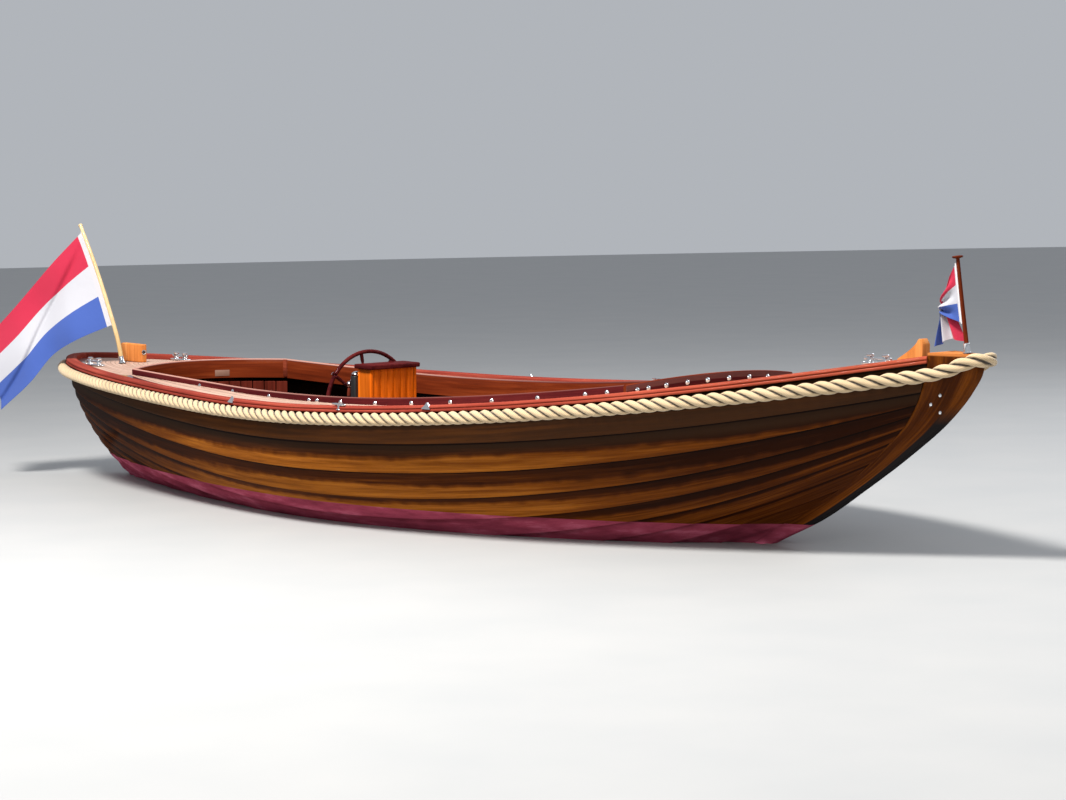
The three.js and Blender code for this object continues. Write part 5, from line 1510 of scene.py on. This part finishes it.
def build_wheel():
    """Mahogany rim and turned spokes on a chrome hub, riding on the wheel's body."""
    centre = np.array([WHEEL["at"], 0.0, WHEEL["height"]])
    rim_radius = WHEEL["radius"] - WHEEL["rim"]

    def place(angle, radius, ahead=0.0):
        return centre + np.array([ahead, radius * math.cos(angle), radius * math.sin(angle)])

    path = [place(math.pi / 2 - a, rim_radius)
            for a in np.linspace(0, 2 * np.pi, 96, endpoint=False)]
    parts = [lofted(tube(path, WHEEL["rim"], 16, ring=True), ring=True)]
    bolts = [turned(HUB, centre, FORWARD, 32)]
    for i in range(WHEEL["spokes"]):
        angle = 2 * math.pi * i / WHEEL["spokes"]
        out = place(angle + math.pi / 2 + WHEEL["turn"], 1) - centre
        parts.append(turned(SPOKE, centre, out, 16))
        bolt = place(angle + math.pi / WHEEL["spokes"], 0.034, -0.026)
        bolts.append(turned(HUB_BOLT, bolt, AFT, 10))
    build("wheel_rim", parts, MAROON, body="steering_wheel", angle=40,
          replaces=["steering_wheel"])
    build("wheel_hub", bolts, CHROME, body="steering_wheel")
    stud = turned(RIM_STUD, place(math.pi / 2 + WHEEL["stud"], rim_radius, -0.012), AFT, 16)
    build("wheel_stud", [stud], CHROME, body="steering_wheel")


def boards_along(low, high, along, count):
    """Upright boards side by side that fill a thin wall. along: the axis they are laid along."""
    parts = []
    step = (high[along] - low[along]) / count
    for k in range(count):
        some_low, some_high = list(low), list(high)
        some_low[along] = low[along] + k * step + 0.0004
        some_high[along] = low[along] + (k + 1) * step - 0.0004
        parts.append(soft_box(some_low, some_high, 0.0016, 2))
    return parts


def build_console():
    low, high = own_box("console")
    floor = low[2]
    top = high[2] - CONSOLE["lid"]
    aft, fore, half = CONSOLE["aft"], CONSOLE["fore"], CONSOLE["half"]
    wall, post, overhang = CONSOLE["wall"], CONSOLE["post"], CONSOLE["overhang"]
    broad = []
    for x in (aft, fore - wall):
        broad += boards_along((x, -half + wall, floor), (x + wall, half - wall, top), 1, 6)
    narrow = []
    for y in (-half, half - wall):
        narrow += boards_along((aft, y, floor), (fore, y + wall, top), 0, 2)
    build("console_body", broad, CONSOLE_FRONT, replaces=["console"])
    build("console_sides", narrow, ORANGE)
    posts = [soft_box((x - post, y - post, floor), (x + post, y + post, top), 0.003, 2)
             for x in (aft + 0.006, fore - 0.006) for y in (-half + 0.006, half - 0.006)]
    build("console_posts", posts, CONSOLE_FRONT)
    lid = soft_box((aft - overhang, -half - overhang, top - 0.002),
                   (fore + overhang, half + overhang, top + CONSOLE["lid"]), 0.006)
    build("console_lid", [lid], MAROON)
    dials = [(aft + 0.0002, y, top - DIAL_DOWN) for y in (-DIAL_SIDE, DIAL_SIDE)]
    build("dial_rims", [turned(DIAL_RIM, dial, AFT, 28) for dial in dials], CHROME)
    build("dial_glasses", [turned(DIAL_GLASS, dial, AFT, 28) for dial in dials], BLACK)
    build_lever(aft)


def build_lever(aft):
    """Engine's lever: a dark housing on the console with a chrome cap, arm, ball and grip."""
    side, foot = LEVER["side"], LEVER["foot"]
    cap, ball, grip = (np.array([LEVER[key][0], side, LEVER[key][1]])
                       for key in ("cap", "ball", "grip"))
    housing = soft_box((cap[0] - 0.022, side - 0.022, foot),
                       (aft - SEAT, side + 0.024, cap[2] - 0.010), 0.008)
    build("lever_housing", [housing], BLACK)
    root = cap - np.array([0.022, 0.0, 0.018])
    arm = tube([lerp(root, ball, t) for t in np.linspace(0, 0.9, 5)], LEVER["arm"], 12)
    radius = LEVER["ball_radius"]
    round_ball = [(radius * math.cos(a), radius * math.sin(a))
                  for a in np.linspace(-1.45, 1.45, 11)]
    build("lever_arm", [turned(LEVER_CAP, cap, UP, 24), lofted(arm),
                        turned(round_ball, ball, UP, 24)], CHROME)
    handle = tube([lerp(ball, grip, t) for t, _ in LEVER_GRIP],
                  np.array([radius for _, radius in LEVER_GRIP]), 14)
    build("lever_grip", [lofted(handle)], SLATS)


def build_engine_box():
    low, high = own_box("engine_box")
    floor, top = low[2], BOX["top"]
    half, aft, fore, wall = BOX["half"], BOX["aft"], BOX["fore"], BOX["wall"]
    walls = [soft_box((aft, y, floor), (fore, y + wall, top), 0.002, 2)
             for y in (-half, half - wall)]
    walls += [soft_box((x, -half + wall, floor), (x + wall, half - wall, top), 0.002, 2)
              for x in (aft, fore - wall)]
    build("box_walls", walls, ORANGE_LONG, replaces=["engine_box"])
    low, high = own_box("engine_box_lid")
    rows = [[(x, y, high[2]) for y in np.linspace(low[1] + 0.001, high[1] - 0.001, 24)]
            for x in np.linspace(low[0] + 0.001, high[0] - 0.001, 30)]
    build("box_lid", [slab(rows, high[2] - low[2])], TEAK, body="engine_box_lid",
          replaces=["engine_box_lid"])
    for k, x in enumerate(BOX_RINGS):
        parts = [turned(profile, (x, 0.0, high[2]), UP, 20) for profile in (LID_RING, LID_DISC)]
        build(f"lid_ring_{k}", parts, CHROME, body="engine_box_lid")


def build_sole():
    low, high = own_box("cockpit_sole")
    rows = []
    for x in np.linspace(low[0] + 0.0005, high[0] - 0.0005, 50):
        half = min(SOLE_HALF, hull_half(x, low[2] - INSIDE_HULL) - INSIDE_HULL)
        rows.append([(x, y, high[2]) for y in np.linspace(-half, half, 25)])
    build("sole_boards", [slab(rows, high[2] - low[2])], TEAK, replaces=["cockpit_sole"])


def build_slats():
    """Upright slats of the seat back round the stern, under the coaming."""
    inner = moved(COAMING_PLAN, -COAMING_THICKNESS - 0.010)
    path = [(x, y) for x, y in inner if x < SLAT["end"]]
    path = np.array([(x, -y) for x, y in path[::-1]] + path)
    lengths = distances(path)
    count = int(lengths[-1] / SLAT["pitch"])
    parts = []
    for k in range(count):
        place = (k + 0.5) / count * lengths[-1]
        (x, ahead_x), (y, ahead_y) = (np.interp((place, place + 0.01), lengths, path[:, i])
                                      for i in (0, 1))
        along = unit(np.array([ahead_x - x, ahead_y - y, 0.0]))
        across = np.array([-along[1], along[0], 0.0])
        low, top = SLAT["low"], coaming_top(x) - COAMING_DEPTH - 0.020
        sections = []
        for z, shrink in ((low, 0.0015), (low + 0.002, 0), (top - 0.002, 0), (top, 0.0015)):
            wide, thick = SLAT["wide"] / 2 - shrink, SLAT["thick"] / 2 - shrink
            ring = [(wide, thick - 0.002), (wide - 0.002, thick), (-wide + 0.002, thick),
                    (-wide, thick - 0.002), (-wide, -thick), (wide, -thick)]
            sections.append([(x, y, z) + along * a + across * b for a, b in ring])
        parts.append(lofted(sections))
    build("seat_back", parts, SLATS)


def build_battens():
    """Upright battens over the joints of the coaming's inner faces."""
    parts = []
    for side in (1, -1):
        y = coaming_half(BATTEN) - COAMING_THICKNESS - 0.0002
        top = coaming_top(BATTEN) - 0.004
        low = top - COAMING_DEPTH + 0.010
        sections = []
        for z, shrink in ((low, 0.002), (low + 0.003, 0), (top - 0.003, 0), (top, 0.002)):
            ring = [(-0.017 + shrink, 0.0), (-0.016 + shrink, -0.007 + shrink),
                    (0.016 - shrink, -0.007 + shrink), (0.017 - shrink, 0.0)]
            sections.append([(BATTEN + a, side * (y + b + a * coaming_slope(BATTEN)), z)
                             for a, b in ring])
        parts.append(lofted(sections))
    build("coaming_battens", parts, SEAT_WOOD)


def build_plate():
    """Small blank plate on the inner face of the coaming's after end."""
    inner = moved(COAMING_PLAN, -COAMING_THICKNESS)
    k = int(np.argmin(np.abs(inner[:CORNER_COUNT, 1] - PLATE["across"])))
    x, y = inner[k]
    along = unit(np.array([*(inner[k + 1] - inner[k - 1]), 0.0]))
    inward = np.array([along[1], -along[0], 0.0])
    z = coaming_top(x) - PLATE["down"]
    sections = []
    for depth, shrink in ((0.0, 0.0), (0.0015, 0.0), (0.0022, 0.0015)):
        half_wide, half_high = PLATE["wide"] / 2 - shrink, PLATE["high"] / 2 - shrink
        base = np.array([x, y, z]) + inward * (depth + 0.0008)
        sections.append([base + along * a + np.array([0, 0, b]) for a, b in
                         ((half_wide, half_high), (-half_wide, half_high),
                          (-half_wide, -half_high), (half_wide, -half_high))])
    build("blank_plate", [lofted(sections)], BLANK_PLATE)


# All pieces, in the order in which they are made

for build_pieces in (
    build_planking, build_rope, build_rails, build_coamings, build_front_board,
    build_side_decks, build_foredeck, build_stem, build_studs, build_rail_fittings,
    build_bollards, build_stern_block, build_bitt, build_staffs, build_flags, build_wheel,
    build_console, build_engine_box, build_sole, build_slats, build_battens, build_plate,
):
    build_pieces()


# Materials of the CAD pieces that stay as they are

CARRIED = [
    (BOTTOM, ["keel", "rudder"]),
    (POST_WOOD, ["sternpost"]),
    (HULL_WOOD, ["floor_bearer", "bulkhead_aft", "bulkhead_fore"]),
    (SEAT_WOOD, ["bench_port", "bench_starboard", "bench_stern", "bench_bow"]),
    (CHROME, ["steering_column"]),
    (BRONZE, ["propeller", "stern_tube"]),
    (ENGINE, ["engine"]),
]
for finish, names in CARRIED:
    for name in names:
        NODES[name].data.materials.clear()
        NODES[name].data.materials.append(finish)


# Camera, lights and the floor, which lies where the water would be


# Where the base line's frame has the water, and how far under the planking the hole reaches
WATER_ENDS = (-2.86, 2.25)
HOLE_INSET = 0.005
FLOOR_REACH = 60.0
FLOOR_TONES = ((0.36, 0.37, 0.38), (0.42, 0.42, 0.42))


def build_floor():
    """A wide plate with a hole that follows the planking at the water's height."""
    side = []
    for t in np.linspace(0, 1, 60):
        x = lerp(*WATER_ENDS, 0.5 - 0.5 * math.cos(math.pi * t))
        level = (x * math.sin(TRIM) - FLOAT) / math.cos(TRIM)
        place = AFLOAT @ Vector((x, 0, level))
        side.append((place.x, max(hull_half(x, level) - HOLE_INSET, 0.012)))
    hole = side + [(x, -y) for x, y in side[::-1]]
    count = len(hole)
    points = []
    for share in (0, 0.01, 0.04, 0.12, 0.35, 1):
        for k, (x, y) in enumerate(hole):
            turn = math.pi * (1 - 2 * (k + 0.5) / count)
            points.append((lerp(x, FLOOR_REACH * math.cos(turn), share),
                           lerp(y, FLOOR_REACH * math.sin(turn), share), 0.0))
    faces = [(ring + k, ring + (k + 1) % count, ring + count + (k + 1) % count,
              ring + count + k) for ring in range(0, 5 * count, count) for k in range(count)]
    look = Look("pale_floor")
    cloud = look.noise(look.place(), scale=1.5, detail=3.0)
    finish = look.finish({"Base Color": look.mix(cloud, *FLOOR_TONES), "Roughness": 0.6})
    mesh = finish_mesh("floor", points, faces, None, finish)
    mesh.shade_flat()
    put("floor", mesh)


build_floor()


def area_light(name, place, target, size, power, colour):
    lamp = bpy.data.lights.new(name, "AREA")
    lamp.shape = "RECTANGLE"
    lamp.size, lamp.size_y = size
    lamp.energy = power
    lamp.color = colour
    obj = put(name, lamp)
    obj.location = place
    obj.rotation_euler = (Vector(target) - Vector(place)).to_track_quat("-Z", "Y").to_euler()


area_light("key", (1.2, -5.5, 9.5), (0.3, 0, 0.3), (3.0, 2.0), 2300, (1.0, 0.97, 0.92))
area_light("front", (9.0, -7.0, 4.5), (0.5, -0.6, 0.3), (5.0, 2.5), 200, (1.0, 0.96, 0.90))
area_light("back", (3.0, 9.0, 6.0), (0, 0, 0.4), (8.0, 4.0), 380, (0.93, 0.96, 1.0))

world = bpy.data.worlds.new("studio")
world.use_nodes = True
world.node_tree.nodes["Background"].inputs["Color"].default_value = (0.80, 0.84, 0.90, 1.0)
world.node_tree.nodes["Background"].inputs["Strength"].default_value = 0.55
bpy.context.scene.world = world
bpy.context.scene.view_settings.view_transform = "Standard"

bearing = math.radians(CAMERA["bearing"])
lens = bpy.data.cameras.new("view")
lens.sensor_fit = "HORIZONTAL"
lens.sensor_width = CAMERA["sensor"]
lens.lens = CAMERA["sensor"] * CAMERA["focal"] / CAMERA["width"]
lens.clip_end = 200.0
camera = put("view", lens)
eye = Vector((CAMERA["distance"] * math.sin(bearing), -CAMERA["distance"] * math.cos(bearing),
              CAMERA["height"]))
gaze = Euler((math.pi / 2 - CAMERA["dip"], 0.0, bearing + CAMERA["turn"]))
camera.matrix_world = AFLOAT @ Matrix.Translation(eye) @ gaze.to_matrix().to_4x4()
bpy.context.scene.camera = camera

bpy.context.view_layer.update()
